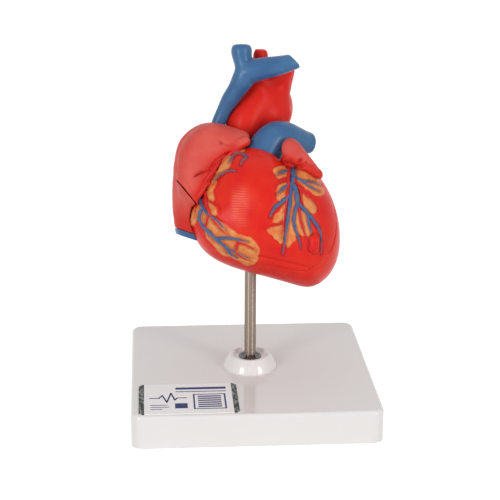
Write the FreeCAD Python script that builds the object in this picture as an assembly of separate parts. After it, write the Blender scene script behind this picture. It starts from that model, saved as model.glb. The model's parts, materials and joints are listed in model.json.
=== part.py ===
import FreeCAD, Part
import math
import os

from FreeCAD import Matrix, Placement, Rotation, Vector

os.makedirs("parts", exist_ok=True)

# A two-part human heart model on a rod over a square moulded base.
# The origin is the middle of the base's underside, +Z is up and -Y is the front.

# Stand
BASE_SIDE = 125.0
BASE_HEIGHT = 17.0
BASE_WALL = 2.5
BASE_CORNER_R = 6.0
BASE_EDGE_R = 1.8
RIB_THICK = 2.0
RIB_DEPTH = 9.0
BOSS_FOOT_R = 14.1
BOSS_FOOT_HEIGHT = 0.9
BOSS_WAIST = (12.5, 4.0)
BOSS_RIM_R = 10.3
BOSS_HEIGHT = 7.0
BOSS_ROUND = 0.5
RECESS_RIM_R = 9.3
RECESS_FLOOR_R = 8.4
RECESS_DEPTH = 1.5
UNDER_BOSS_R = 9.0
UNDER_BOSS_Z = 9.0
POCKET_R = 7.5
ROD_R = 3.0
ROD_BOTTOM_Z = 1.6
ROD_TOP_Z = 84.0
ROD_TIP_CHAMFER = 0.6
STAR_R = 5.9
STAR_CROWN_R = 4.6
STAR_THICK = 0.5
STAR_RISE = 1.3
STAR_TEETH = 6
STAR_SLOT = 1.1
STAR_SLOT_IN = 1.0
WASHER_R = 6.0
WASHER_THICK = 1.2
NUT_ACROSS_FLATS = 10.0
NUT_HEIGHT = 5.0
NUT_CROWN_IN = 0.5
NUT_CROWN_OUT = 1.6
LABEL_X = (-58.6, -9.0)
LABEL_Y = (-60.0, -23.5)
LABEL_THICK = 0.25
LABEL_CORNER = 2.0
THROUGH = 60.0

# Sleeve that turns and lifts
RUNNING_GAP = 0.05
SLEEVE_R = 5.0
SLEEVE_CAP = 2.0
SLEEVE_BOTTOM_Z = 72.6
HUB_R = 7.6
HUB_CAP = 2.2

# The heart's own frame: X to the right, Y up along the heart, Z out of its front.
# It leans back over the stand by HEART_LEAN and is centred HEART_HEIGHT above the table.
HEART_HEIGHT = 110.0
HEART_LEAN = 16.0
HEART_PLACE = Placement(Vector(0, 0, HEART_HEIGHT), Rotation(Vector(1, 0, 0), 90.0 - HEART_LEAN))

# Parting plane between the front wall and the rest of the heart
PARTING_OUT = 6.2
PARTING_TILT = 20.0
PARTING_GAP = 0.4
PARTING_SIZE = 260.0
FLANGE_THICK = 2.6
PULL_DEPTH = 40.0

# Ventricles: outline in the heart's frame, and how far they swell to the front and the back
VENTRICLES = [
    (-1.0, 25.4), (6.0, 25.0), (11.9, 21.6), (16.5, 17.2), (27.9, 15.6), (35.5, 8.8),
    (42.5, -5.1), (45.1, -22.0), (41.6, -37.3), (35.9, -43.9), (29.7, -46.6), (21.0, -45.2),
    (5.1, -40.5), (-11.2, -35.4), (-24.5, -27.0), (-30.2, -16.5), (-31.3, -9.5), (-28.8, -2.0),
    (-24.8, 4.8), (-20.0, 13.2), (-15.2, 20.2), (-9.0, 24.2),
]
VENTRICLES_MID = (9.0, -11.0)
VENTRICLES_FRONT = 29.0
VENTRICLES_BACK = 27.0
SHELL_WALL = 3.0
LINER_WALL = 2.2
FRONT_ROUNDNESS = 2.1
BACK_ROUNDNESS = 2.4
ATRIUM_ROUNDNESS = 2.2
FLAP_ROUNDNESS = 2.8
SWELL_STEPS = (12, 32, 52, 70, 84)

# Chambers: centre, half-axes, and turn about the heart's Z axis
RIGHT_CHAMBER = ((-4.0, -2.0, 2.0), (15.0, 17.0, 19.0), 0.0)
LEFT_CHAMBER = ((26.0, -13.0, 2.0), (9.0, 22.0, 14.0), 17.0)

# Atria and auricles: outline, middle, Z of the outline, front swell, back swell, slope
RIGHT_ATRIUM = [
    (-12.0, 36.6), (-19.0, 38.0), (-25.2, 37.2), (-31.0, 34.0), (-35.4, 29.4), (-38.2, 21.0),
    (-39.7, 7.5), (-39.9, -6.0), (-38.9, -15.6), (-36.5, -23.5), (-29.0, -27.5), (-18.0, -22.0),
    (-10.0, -8.0), (-4.0, 12.0), (-5.5, 29.5),
]
RIGHT_ATRIUM_MID = (-22.0, 8.0)
RIGHT_ATRIUM_Z = (-8.0, 17.5, 18.0, 0.0)
# The lower end is cut flat, and the inferior vena cava is a slab of the same outline under it
CAVA_CUT_AT = (-38.1, -15.8)
CAVA_CUT_TURN = -19.5
CAVA_STUB_LENGTH = 2.7
# The auricle ends on a straight seam across the front of the atrium
SEAM_AT = (-38.5, 9.6)
SEAM_TURN = -52.3
AURICLE_FLAP = [
    (-29.0, 33.9), (-20.0, 37.6), (-12.4, 36.1), (-5.5, 34.0), (-1.2, 31.9), (-0.4, 29.6),
    (-2.4, 27.3), (-6.3, 25.4), (-9.6, 22.6), (-12.6, 17.8), (-16.8, 10.2), (-21.8, 1.0),
    (-27.6, -5.6), (-34.5, -2.0), (-38.0, 9.0), (-36.6, 23.5),
]
AURICLE_FLAP_MID = (-21.0, 19.0)
AURICLE_FLAP_Z = (0.5, 12.0, 8.0, -0.2)
LEFT_ATRIUM = [
    (-15.0, 10.0), (-12.0, 21.0), (-2.0, 26.5), (12.0, 27.0), (24.0, 24.5), (30.5, 17.0),
    (30.5, 5.0), (23.0, -4.5), (6.0, -7.5), (-9.0, -2.5),
]
LEFT_ATRIUM_MID = (9.0, 10.5)
LEFT_ATRIUM_Z = (-25.0, 10.0, 12.0, 0.0)
LEFT_AURICLE_TIP = [
    (15.2, 17.9), (15.0, 23.0), (16.0, 27.2), (18.2, 28.9), (20.6, 29.0), (23.8, 26.8),
    (27.4, 21.8), (28.3, 15.5), (24.0, 12.6), (18.7, 16.4),
]
LEFT_AURICLE_TIP_MID = (21.0, 21.0)
LEFT_AURICLE_TIP_Z = (10.5, 6.5, 5.0, -0.3)
LEFT_AURICLE_BASE = [
    (22.5, 16.5), (26.5, 22.6), (28.9, 19.8), (31.6, 16.2), (34.0, 13.2), (35.3, 10.6),
    (34.3, 8.1), (31.6, 8.6), (28.0, 10.4), (24.2, 12.4),
]
LEFT_AURICLE_BASE_MID = (29.5, 13.5)
LEFT_AURICLE_BASE_Z = (13.0, 6.0, 5.5, -0.3)
ATRIUM_WALL = 2.4

# Vessels: stations along the middle of each, as x, y, z, outer radius
SUPERIOR_VENA_CAVA = [
    (-17.0, 30.0, -11.8, 3.9), (-15.6, 37.5, -12.2, 3.7), (-13.9, 41.8, -11.4, 3.7),
    (-11.5, 46.6, -9.6, 4.0), (-8.1, 52.0, -6.4, 4.6), (-4.9, 56.7, -3.8, 5.2),
    (-2.6, 61.0, -2.2, 5.7), (-2.2, 65.5, -1.8, 5.0), (-3.3, 70.0, -1.8, 4.9),
    (-3.7, 74.4, -1.8, 5.4), (-3.8, 76.3, -1.8, 4.9), (-3.8, 77.2, -1.8, 3.6),
]
LEFT_VEIN = [
    (-2.5, 61.8, -1.8, 5.4), (3.0, 64.0, -1.2, 5.9), (9.0, 65.2, -0.6, 5.6),
    (15.0, 66.2, 0.0, 5.1), (21.0, 67.6, 0.4, 4.4), (27.5, 69.3, 0.8, 3.8),
]
VEIN_CUT_AT = (22.9, 69.0, 0.0)
VEIN_CUT_TURN = 42.0
AORTA = [
    (16.0, 6.0, -7.0, 6.4), (7.5, 12.0, -12.5, 7.6), (2.0, 18.0, -15.5, 8.5),
    (-0.6, 24.5, -16.5, 8.9), (-1.6, 31.0, -16.0, 9.4), (-1.2, 37.5, -15.8, 9.9),
    (1.4, 43.5, -16.6, 10.3), (5.4, 48.8, -18.8, 11.1), (10.2, 51.0, -22.2, 11.3),
    (14.0, 49.4, -26.4, 10.4), (16.0, 45.4, -30.0, 9.1), (16.2, 39.8, -32.4, 7.9),
]
ARCH_BRANCHES = {
    "brachiocephalic": [
        (6.6, 55.0, -16.0, 5.8), (6.3, 60.5, -14.1, 4.3), (6.5, 66.5, -12.2, 3.8),
        (6.7, 73.0, -10.0, 3.8), (6.8, 75.4, -9.3, 2.9),
    ],
    "carotid": [(11.8, 56.0, -20.6, 4.2), (12.0, 60.5, -19.8, 3.3), (13.0, 68.5, -18.4, 2.8)],
    "subclavian": [
        (17.0, 53.0, -25.2, 6.6), (18.6, 58.0, -24.8, 5.4), (20.6, 63.0, -24.4, 4.4),
        (22.2, 67.6, -24.2, 3.8),
    ],
}
PULMONARY_TRUNK = [
    (1.5, 9.0, 2.0, 7.4), (4.2, 17.0, 1.0, 8.7), (6.3, 21.5, 0.5, 9.0), (9.3, 26.0, 0.0, 9.0),
    (13.0, 29.3, -1.2, 8.8), (17.5, 30.2, -3.6, 8.1), (22.0, 29.3, -6.5, 7.2),
    (26.5, 28.2, -9.5, 6.3), (29.5, 27.5, -11.3, 5.8), (31.8, 27.2, -12.5, 5.5),
    (32.8, 27.1, -13.0, 4.4),
]
RIGHT_PULMONARY_ARTERY = [
    (18.5, 30.0, -5.0, 5.6), (19.5, 31.0, -13.0, 5.2), (17.5, 32.0, -20.5, 5.0),
    (11.0, 32.8, -27.0, 4.9), (2.0, 32.6, -29.6, 4.8), (-12.0, 32.0, -29.0, 4.7),
    (-23.0, 31.5, -27.5, 4.7),
]
VESSEL_WALL = 1.6
PULMONARY_VEINS = [
    ((-6.0, 18.0, -30.0), (-12.5, 20.5, -39.0)),
    ((-7.5, 7.0, -30.0), (-14.0, 6.0, -38.5)),
    ((22.0, 19.0, -31.0), (25.5, 21.0, -40.5)),
    ((22.0, 7.5, -31.0), (26.0, 7.5, -40.0)),
]
PULMONARY_VEIN_R = 3.6
PULMONARY_VEIN_FLARE = 0.5
PULMONARY_VEIN_RIM = 1.0

# Valves: middle of the ring, direction of flow, ring radius, length of the leaflets, cusps
TRICUSPID = ((-21.5, 2.6, -6.8), (15.0, -7.0, 3.0), 6.6, 9.0, 3)
MITRAL = ((20.6, 3.0, -21.0), (6.5, -12.5, 20.0), 6.2, 9.0, 2)
PULMONARY_VALVE = ((6.3, 21.5, 0.5), (3.0, 4.5, -0.4), 7.2, 4.5, 3)
AORTIC_VALVE = ((0.7, 21.0, -16.1), (-2.4, 6.5, -0.9), 7.0, 4.5, 3)
COLLAR_WALL = 2.0
LEAFLET_THICK = 0.8
PASSAGE_LENGTH = 22.0
PASSAGE_BEHIND = 8.0
FLAP_RING_HALF = 1.2
FLAP_TIP_SHARE = 0.55
FLAP_SLIT = 1.0
FLAP_SLIT_FROM = 2.2
FLAP_SLIT_TURN = 30.0
CUSP_RING_HEIGHT = 1.6
CUSP_RING_WALL = 1.0
CUSP_OFFSET_SHARE = 0.52
CUSP_R_SHARE = 0.46

# Papillary muscles: foot, tip, foot radius, and where their cords are tied
RIGHT_PAPILLARY = [
    ((-6.0, -18.0, 0.0), (-9.0, -8.5, -2.0), 3.0, [(-12.5, 0.5, -8.0), (-13.0, -4.0, -2.0)]),
    ((2.5, -14.0, -6.0), (-3.0, -6.5, -5.5), 2.6, [(-11.0, -1.0, -9.0), (-11.5, -5.0, -5.0)]),
]
LEFT_PAPILLARY = [
    ((32.0, -29.0, -1.0), (27.5, -16.0, -3.5), 3.0, [(24.0, -3.5, -7.0), (27.0, -5.5, -9.0)]),
    ((24.5, -24.0, -8.0), (23.0, -13.0, -6.0), 2.6, [(20.5, -4.0, -10.0), (23.0, -6.0, -11.0)]),
]
PAPILLARY_TAPER = 0.5
CORD_R = 0.4

# Locating pegs through the parting plane, as x, y
PEGS = [(-13.0, -20.5), (11.0, -26.5), (31.5, 3.0)]
PEG_R = 1.5
PEG_DEPTH = 4.0
PEG_HOLE_SPARE = 0.4
PEG_BOSS_R = 3.6
PEG_BOSS_DEPTH = 7.0


def export(shape, name):
    """Write one named piece."""
    shape.exportStep("parts/" + name + ".step")


def main_solid(shape):
    """Keep the largest solid of a boolean result and drop its slivers."""
    return max(shape.Solids, key=lambda solid: solid.Volume)


def fused(shapes):
    """Fuse a list of shapes into one."""
    first = shapes[0]
    if len(shapes) == 1:
        return first
    return first.multiFuse(shapes[1:])


def cut_all(shape, tools):
    """Cut a list of tools from a shape, one after another."""
    for tool in tools:
        shape = shape.cut(tool)
    return shape


def in_world(shape):
    """Place a shape made in the heart's frame over the stand."""
    placed = shape.copy()
    placed.Placement = HEART_PLACE.multiply(placed.Placement)
    return placed


def in_heart(shape):
    """Bring a shape made over the stand into the heart's frame."""
    placed = shape.copy()
    placed.Placement = HEART_PLACE.inverse().multiply(placed.Placement)
    return placed


def rounded_slab(side, height, corner_r):
    """A square block on the origin with rounded upright edges."""
    half = side / 2
    slab = Part.makeBox(side, side, height, Vector(-half, -half, 0))
    upright = [e for e in slab.Edges if abs(e.Vertexes[0].Z - e.Vertexes[1].Z) > height / 2]
    return slab.makeFillet(corner_r, upright)


def smooth_loop(points):
    """A closed smooth curve through points."""
    curve = Part.BSplineCurve()
    curve.interpolate(points, PeriodicFlag=True)
    return Part.Wire([curve.toShape()])


def blob(outline, middle, z_span, roundness=(ATRIUM_ROUNDNESS, ATRIUM_ROUNDNESS), inset=0.0):
    """A swollen form: an outline that shrinks to both sides on a rounded profile."""
    z_mid, front, back, slope = z_span
    cx, cy = middle
    inner = []
    for x, y in outline:
        length = math.hypot(x - cx, y - cy)
        shrink = (length - inset) / length
        inner.append((cx + (x - cx) * shrink, cy + (y - cy) * shrink))
    wires = []
    for degrees in [-step for step in reversed(SWELL_STEPS)] + list(SWELL_STEPS):
        angle = math.radians(degrees)
        swell = front - inset if degrees > 0 else back - inset
        power = roundness[0] if degrees > 0 else roundness[1]
        scale = math.cos(angle) ** (2 / power)
        rise = math.copysign(swell * abs(math.sin(angle)) ** (2 / power), angle)
        points = []
        for x, y in inner:
            dx = (x - cx) * scale
            dy = (y - cy) * scale
            points.append(Vector(cx + dx, cy + dy, z_mid + rise + slope * dy))
        wires.append(smooth_loop(points))
    return Part.makeLoft(wires, True, False)


def station_frames(stations):
    """Circles across a path, each with the same start direction."""
    centres = [Vector(*station[:3]) for station in stations]
    circles = []
    side = Vector(0, 0, 1)
    for i, station in enumerate(stations):
        before = centres[max(i - 1, 0)]
        after = centres[min(i + 1, len(centres) - 1)]
        along = (after - before).normalize()
        side = (side - along * side.dot(along)).normalize()
        across = along.cross(side)
        turn = Rotation(side, across, along, "ZXY")
        ring = Part.Wire([Part.Circle(Vector(0, 0, 0), Vector(0, 0, 1), station[3]).toShape()])
        ring.Placement = Placement(centres[i], turn)
        circles.append(ring)
    return circles


def tube(stations, grow=0.0):
    """A solid tapering tube through stations, optionally thicker or thinner."""
    grown = [(x, y, z, r + grow) for x, y, z, r in stations]
    return Part.makeLoft(station_frames(grown), True, False)


def lumen(stations, wall):
    """The inside of a tube that is open at its first station and closed at its last."""
    closed = [list(station) for station in stations]
    last = Vector(*closed[-1][:3])
    before = Vector(*closed[-2][:3])
    end = last + (before - last).normalize() * wall
    closed[-1][0:3] = [end.x, end.y, end.z]
    return tube([tuple(station) for station in closed], -wall)


def ellipsoid(centre, half_axes, turn):
    """An ellipsoid, turned about Z."""
    a, b, c = half_axes
    ball = Part.makeSphere(1.0)
    stretch = Matrix(a, 0, 0, 0, 0, b, 0, 0, 0, 0, c, 0, 0, 0, 0, 1)
    shape = ball.transformGeometry(stretch)
    shape.Placement = Placement(Vector(*centre), Rotation(Vector(0, 0, 1), turn))
    return shape


def rod_between(start, end, radius, end_radius=None):
    """A round rod or cone from one point to another."""
    start = Vector(*start)
    along = Vector(*end) - start
    if end_radius is None or abs(end_radius - radius) < 1e-6:
        return Part.makeCylinder(radius, along.Length, start, along)
    return Part.makeCone(radius, end_radius, along.Length, start, along)


def parting_block(low, thick):
    """A block along the parting plane, thick from low ahead of it."""
    corner = Vector(-PARTING_SIZE / 2, -PARTING_SIZE / 2, low)
    block = Part.makeBox(PARTING_SIZE, PARTING_SIZE, thick, corner)
    block.Placement = Placement(Vector(0, 0, PARTING_OUT), Rotation(Vector(1, 0, 0), -PARTING_TILT))
    return block


def parting_slab(front, thick):
    """A slab on the front or the back face of the parting gap."""
    return parting_block(PARTING_GAP / 2 if front else -PARTING_GAP / 2 - thick, thick)


def parting_z(y):
    """Height of the parting plane in the heart's frame."""
    return PARTING_OUT - math.tan(math.radians(PARTING_TILT)) * y


def pull_path(stations, grow):
    """The space that the front wall leaves round a vessel, open towards the back."""
    shapes = [tube(stations, grow)]
    for (x1, y1, z1, r1), (x2, y2, z2, r2) in zip(stations, stations[1:]):
        top = min(z1, z2)
        r1 += grow
        r2 += grow
        shapes.append(Part.makeCylinder(r1, PULL_DEPTH, Vector(x1, y1, z1 - PULL_DEPTH)))
        along = Vector(x2 - x1, y2 - y1, 0)
        gap = along.Length
        heading = math.atan2(along.y, along.x)
        lean = math.acos(max(-1.0, min(1.0, (r1 - r2) / gap)))
        corners = []
        for x, y, r, side in ((x1, y1, r1, 1), (x2, y2, r2, 1), (x2, y2, r2, -1), (x1, y1, r1, -1)):
            angle = heading + side * lean
            spot = Vector(x + r * math.cos(angle), y + r * math.sin(angle), top - PULL_DEPTH)
            corners.append(spot)
        face = Part.Face(Part.makePolygon(corners + [corners[0]]))
        shapes.append(face.extrude(Vector(0, 0, PULL_DEPTH)))
    return fused(shapes)


# ---------------------------------------------------------------- stand


def boss_form():
    """The boss: an upright foot, a slightly swollen skirt and a rounded rim."""
    foot = Vector(BOSS_FOOT_R, 0, BASE_HEIGHT + BOSS_FOOT_HEIGHT)
    waist = Vector(BOSS_WAIST[0], 0, BASE_HEIGHT + BOSS_WAIST[1])
    rim = Vector(BOSS_RIM_R, 0, BASE_HEIGHT + BOSS_HEIGHT)
    skirt = Part.Arc(foot, waist, rim).toShape()
    start = Vector(BOSS_FOOT_R, 0, BASE_HEIGHT)
    rest = Part.makePolygon([rim, Vector(0, 0, rim.z), Vector(0, 0, start.z), start, foot])
    profile = Part.Face(Part.Wire([skirt] + rest.Edges))
    boss = profile.revolve(Vector(0, 0, 0), Vector(0, 0, 1), 360)
    rounded = [e for e in boss.Edges
               if isinstance(e.Curve, Part.Circle) and e.BoundBox.ZMin > BASE_HEIGHT + BOSS_ROUND
               and e.BoundBox.ZLength < 1e-6]
    return boss.makeFillet(BOSS_ROUND, rounded)


def make_base_plate():
    """Moulded plate, hollow underneath, with ribs, a boss and its dished top."""
    plate = rounded_slab(BASE_SIDE, BASE_HEIGHT, BASE_CORNER_R)
    top = [e for e in plate.Edges if all(abs(v.Z - BASE_HEIGHT) < 1e-6 for v in e.Vertexes)]
    plate = plate.makeFillet(BASE_EDGE_R, top)
    inner_height = BASE_HEIGHT - BASE_WALL
    inside = rounded_slab(BASE_SIDE - 2 * BASE_WALL, inner_height, BASE_CORNER_R - BASE_WALL)
    plate = plate.cut(inside)
    span = BASE_SIDE - BASE_WALL
    rib_z = inner_height - RIB_DEPTH
    ribs = []
    for turn in (45.0, 135.0):
        rib = Part.makeBox(span, RIB_THICK, RIB_DEPTH, Vector(-span / 2, -RIB_THICK / 2, rib_z))
        rib.rotate(Vector(0, 0, 0), Vector(0, 0, 1), turn)
        ribs.append(rib)
    under_boss = Part.makeCylinder(UNDER_BOSS_R, BASE_HEIGHT - UNDER_BOSS_Z,
                                   Vector(0, 0, UNDER_BOSS_Z))
    plate = fused([plate, under_boss, boss_form()] + ribs).removeSplitter()
    recess_z = BASE_HEIGHT + BOSS_HEIGHT - RECESS_DEPTH
    recess = Part.makeCone(RECESS_FLOOR_R, RECESS_RIM_R, RECESS_DEPTH, Vector(0, 0, recess_z))
    plate = plate.cut(recess)
    pocket = Part.makeCylinder(POCKET_R, THROUGH, Vector(0, 0, UNDER_BOSS_Z - THROUGH))
    bore = Part.makeCylinder(ROD_R, THROUGH, Vector(0, 0, 0))
    return main_solid(plate.cut(pocket).cut(bore))


def make_stand_rod():
    """Bright steel rod with a chamfered tip."""
    rod = Part.makeCylinder(ROD_R, ROD_TOP_Z - ROD_BOTTOM_Z, Vector(0, 0, ROD_BOTTOM_Z))
    tips = [e for e in rod.Edges if isinstance(e.Curve, Part.Circle)]
    return rod.makeChamfer(ROD_TIP_CHAMFER, tips)


def make_star_lock_washer():
    """Push-on washer whose sprung teeth grip the rod."""
    floor = BASE_HEIGHT + BOSS_HEIGHT - RECESS_DEPTH
    profile = Part.makePolygon([
        Vector(STAR_R, 0, floor),
        Vector(STAR_R, 0, floor + STAR_THICK),
        Vector(STAR_CROWN_R, 0, floor + STAR_THICK),
        Vector(ROD_R, 0, floor + STAR_THICK + STAR_RISE),
        Vector(ROD_R, 0, floor + STAR_RISE),
        Vector(STAR_CROWN_R, 0, floor),
        Vector(STAR_R, 0, floor),
    ])
    washer = Part.Face(profile).revolve(Vector(0, 0, 0), Vector(0, 0, 1), 360)
    for i in range(STAR_TEETH):
        corner = Vector(STAR_SLOT_IN, -STAR_SLOT / 2, 0)
        slot = Part.makeBox(STAR_CROWN_R - STAR_SLOT_IN, STAR_SLOT, THROUGH, corner)
        slot.rotate(Vector(0, 0, 0), Vector(0, 0, 1), 360.0 * i / STAR_TEETH)
        washer = washer.cut(slot)
    return main_solid(washer)


def make_under_washer():
    """Plain washer between the plate and the nut."""
    z = UNDER_BOSS_Z - WASHER_THICK
    ring = Part.makeCylinder(WASHER_R, WASHER_THICK, Vector(0, 0, z))
    return ring.cut(Part.makeCylinder(ROD_R, THROUGH))


def make_rod_nut():
    """Hex nut on the rod's lower end."""
    z = UNDER_BOSS_Z - WASHER_THICK - NUT_HEIGHT
    corner_r = NUT_ACROSS_FLATS / math.sqrt(3)
    corners = []
    for i in range(7):
        angle = math.radians(60 * i)
        corners.append(Vector(corner_r * math.cos(angle), corner_r * math.sin(angle), z))
    nut = Part.Face(Part.makePolygon(corners)).extrude(Vector(0, 0, NUT_HEIGHT))
    wide = corner_r + NUT_CROWN_OUT
    narrow = corner_r - NUT_CROWN_IN
    crown = Part.makeCone(wide, narrow, NUT_HEIGHT, Vector(0, 0, z))
    foot = Part.makeCone(narrow, wide, NUT_HEIGHT, Vector(0, 0, z))
    nut = nut.common(crown).common(foot)
    return nut.cut(Part.makeCylinder(ROD_R, THROUGH))


def make_info_label():
    """Thin printed label on the plate, with clipped corners."""
    x0, x1 = LABEL_X
    y0, y1 = LABEL_Y
    label = Part.makeBox(x1 - x0, y1 - y0, LABEL_THICK, Vector(x0, y0, BASE_HEIGHT))
    upright = [e for e in label.Edges if e.BoundBox.ZLength > LABEL_THICK / 2]
    return label.makeChamfer(LABEL_CORNER, upright)


# ---------------------------------------------------------------- sleeve


def make_rod_socket():
    """Capped sleeve that drops over the rod and turns in the heart's hub."""
    top = ROD_TOP_Z + SLEEVE_CAP
    sleeve = Part.makeCylinder(SLEEVE_R, top - SLEEVE_BOTTOM_Z, Vector(0, 0, SLEEVE_BOTTOM_Z))
    bore = Part.makeCylinder(ROD_R + RUNNING_GAP, ROD_TOP_Z)
    return sleeve.cut(bore)


def hub_column():
    """Outside of the hub round the sleeve, in the heart's frame."""
    top = ROD_TOP_Z + SLEEVE_CAP + RUNNING_GAP + HUB_CAP
    return in_heart(Part.makeCylinder(HUB_R, top))


def hub_bore():
    """Hole that the sleeve turns in, in the heart's frame."""
    top = ROD_TOP_Z + SLEEVE_CAP + RUNNING_GAP
    return in_heart(Part.makeCylinder(SLEEVE_R + RUNNING_GAP, top))


# ---------------------------------------------------------------- heart


class Heart:
    """Shared solids that the heart's pieces are cut from, in the heart's frame."""

    def __init__(self):
        z_span = (0.0, VENTRICLES_FRONT, VENTRICLES_BACK, 0.0)
        rounds = (FRONT_ROUNDNESS, BACK_ROUNDNESS)
        self.outer = blob(VENTRICLES, VENTRICLES_MID, z_span, rounds)
        self.inner = blob(VENTRICLES, VENTRICLES_MID, z_span, rounds, SHELL_WALL)
        self.front_path = front_wall_path(blob(VENTRICLES, VENTRICLES_MID, z_span, rounds, -PARTING_GAP))
        self.rear = parting_slab(False, PARTING_SIZE)
        self.front = parting_slab(True, PARTING_SIZE)
        self.right_chamber = ellipsoid(*RIGHT_CHAMBER)
        self.left_chamber = ellipsoid(*LEFT_CHAMBER)
        self.aorta = tube(AORTA)
        self.trunk = fused([tube(PULMONARY_TRUNK), tube(RIGHT_PULMONARY_ARTERY)])
        self.hub = hub_column()
        self.aorta_room = pull_path(AORTA[1:6], PARTING_GAP)
        self.trunk_room = pull_path(PULMONARY_TRUNK[:6], PARTING_GAP)


def front_wall_path(form):
    """The way that the front wall takes forwards from the parting plane."""
    side = Vector(PARTING_SIZE / 2, 0, 0)
    up = Vector(0, PARTING_SIZE / 2 * math.cos(math.radians(PARTING_TILT)),
                -PARTING_SIZE / 2 * math.sin(math.radians(PARTING_TILT)))
    middle = Vector(0, 0, PARTING_OUT)
    corners = [middle - side - up, middle + side - up, middle + side + up, middle - side + up]
    sheet = Part.Face(Part.makePolygon(corners + [corners[0]]))
    return sheet.common(form).extrude(Vector(0, 0, PULL_DEPTH))


def chamber_walls():
    """Outsides of the two ventricle chambers' mouldings."""
    walls = []
    for centre, half_axes, turn in (RIGHT_CHAMBER, LEFT_CHAMBER):
        grown = tuple(half + LINER_WALL for half in half_axes)
        walls.append(ellipsoid(centre, grown, turn))
    return walls


def valve_passage(valve, radius):
    """A cylinder along a valve's flow, long enough to join the spaces on its two sides."""
    centre, flow, _, _, _ = valve
    along = Vector(*flow).normalize()
    middle = Vector(*centre)
    return Part.makeCylinder(radius, PASSAGE_LENGTH, middle - along * PASSAGE_BEHIND, along)


def peg_column(x, y, radius, back, ahead):
    """A cylinder through the parting plane at one peg."""
    z = parting_z(y)
    return Part.makeCylinder(radius, back + ahead, Vector(x, y, z - back))


def make_rear_shell(heart):
    """Back of the ventricles' skin, with the hub for the sleeve."""
    skin = heart.outer.cut(heart.inner)
    hub = heart.hub.common(heart.outer)
    shell = skin.fuse(hub).common(heart.rear)
    passages = [valve_passage(v, v[2] + COLLAR_WALL) for v in (TRICUSPID, MITRAL)]
    return main_solid(cut_all(shell, [hub_bore(), heart.aorta, heart.trunk] + passages))


def make_rear_liner(heart):
    """Inner moulding: back halves of the chambers, the septum and the parting flange."""
    forms = chamber_walls() + [parting_slab(False, FLANGE_THICK)]
    forms += [peg_column(x, y, PEG_BOSS_R, PEG_BOSS_DEPTH, 0.0) for x, y in PEGS]
    collars = [valve_passage(v, v[2] + COLLAR_WALL) for v in (TRICUSPID, MITRAL)]
    body = fused([form.common(heart.inner).common(heart.rear) for form in forms]
                 + [collar.common(heart.outer).common(heart.rear) for collar in collars])
    tools = [heart.right_chamber, heart.left_chamber, heart.aorta, heart.trunk, heart.hub]
    tools += [valve_passage(v, v[2]) for v in (TRICUSPID, MITRAL)]
    tools += [peg_column(x, y, PEG_R, PEG_DEPTH, PEG_DEPTH) for x, y in PEGS]
    return main_solid(cut_all(body, tools))


def make_front_shell(heart):
    """Front of the ventricles' skin."""
    shell = heart.outer.cut(heart.inner).common(heart.front)
    return main_solid(cut_all(shell, [heart.trunk_room, heart.aorta_room]))


def make_front_liner(heart):
    """Inner moulding of the front wall, with the front halves of the chambers."""
    forms = chamber_walls() + [parting_slab(True, FLANGE_THICK)]
    forms += [peg_column(x, y, PEG_BOSS_R, 0.0, PEG_BOSS_DEPTH) for x, y in PEGS]
    body = fused([form.common(heart.inner).common(heart.front) for form in forms])
    tools = [heart.right_chamber, heart.left_chamber, heart.trunk_room, heart.aorta_room]
    hole = PEG_DEPTH + PEG_HOLE_SPARE
    tools += [peg_column(x, y, PEG_R + RUNNING_GAP, hole, hole) for x, y in PEGS]
    return main_solid(cut_all(body, tools))


def make_locating_pegs():
    """Steel pegs pressed into the rear moulding."""
    return Part.makeCompound([peg_column(x, y, PEG_R, PEG_DEPTH, PEG_DEPTH) for x, y in PEGS])


def above_line(at, turn, gap=0.0):
    """Everything above a line in the heart's front view, from gap above it."""
    corner = Vector(-PARTING_SIZE / 2, gap, -PARTING_SIZE / 2)
    block = Part.makeBox(PARTING_SIZE, PARTING_SIZE, PARTING_SIZE, corner)
    block.Placement = Placement(Vector(*at, 0), Rotation(Vector(0, 0, 1), turn))
    return block


def seam_room(gap):
    """The room of the auricle: ahead of the parting plane and above the seam."""
    return parting_block(gap, PARTING_SIZE).common(above_line(SEAM_AT, SEAM_TURN, gap))


def atrium_forms():
    """Outside of the right atrium with its flap and its foot, and the hollows inside them."""
    outside = blob(RIGHT_ATRIUM, RIGHT_ATRIUM_MID, RIGHT_ATRIUM_Z)
    inside = blob(RIGHT_ATRIUM, RIGHT_ATRIUM_MID, RIGHT_ATRIUM_Z, inset=ATRIUM_WALL)
    rounds = (FLAP_ROUNDNESS, FLAP_ROUNDNESS)
    flap = blob(AURICLE_FLAP, AURICLE_FLAP_MID, AURICLE_FLAP_Z, rounds)
    hollow = blob(AURICLE_FLAP, AURICLE_FLAP_MID, AURICLE_FLAP_Z, rounds, ATRIUM_WALL)
    return outside.fuse(flap), [inside, hollow]


def make_right_atrium(heart, cava):
    """Rear and lower part of the right atrium, a cap against the ventricles' skin."""
    outside, hollows = atrium_forms()
    atrium = cut_all(outside, hollows).common(above_line(CAVA_CUT_AT, CAVA_CUT_TURN))
    tools = [seam_room(-PARTING_GAP / 2), heart.front_path, heart.outer, heart.aorta, heart.trunk, cava]
    return main_solid(cut_all(atrium, tools))


def make_right_auricle(heart):
    """Front of the right atrium with its ear-shaped flap, part of the front wall."""
    outside, hollows = atrium_forms()
    auricle = outside.common(seam_room(PARTING_GAP / 2))
    return main_solid(cut_all(auricle, hollows + [heart.outer, heart.aorta_room]))


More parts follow.
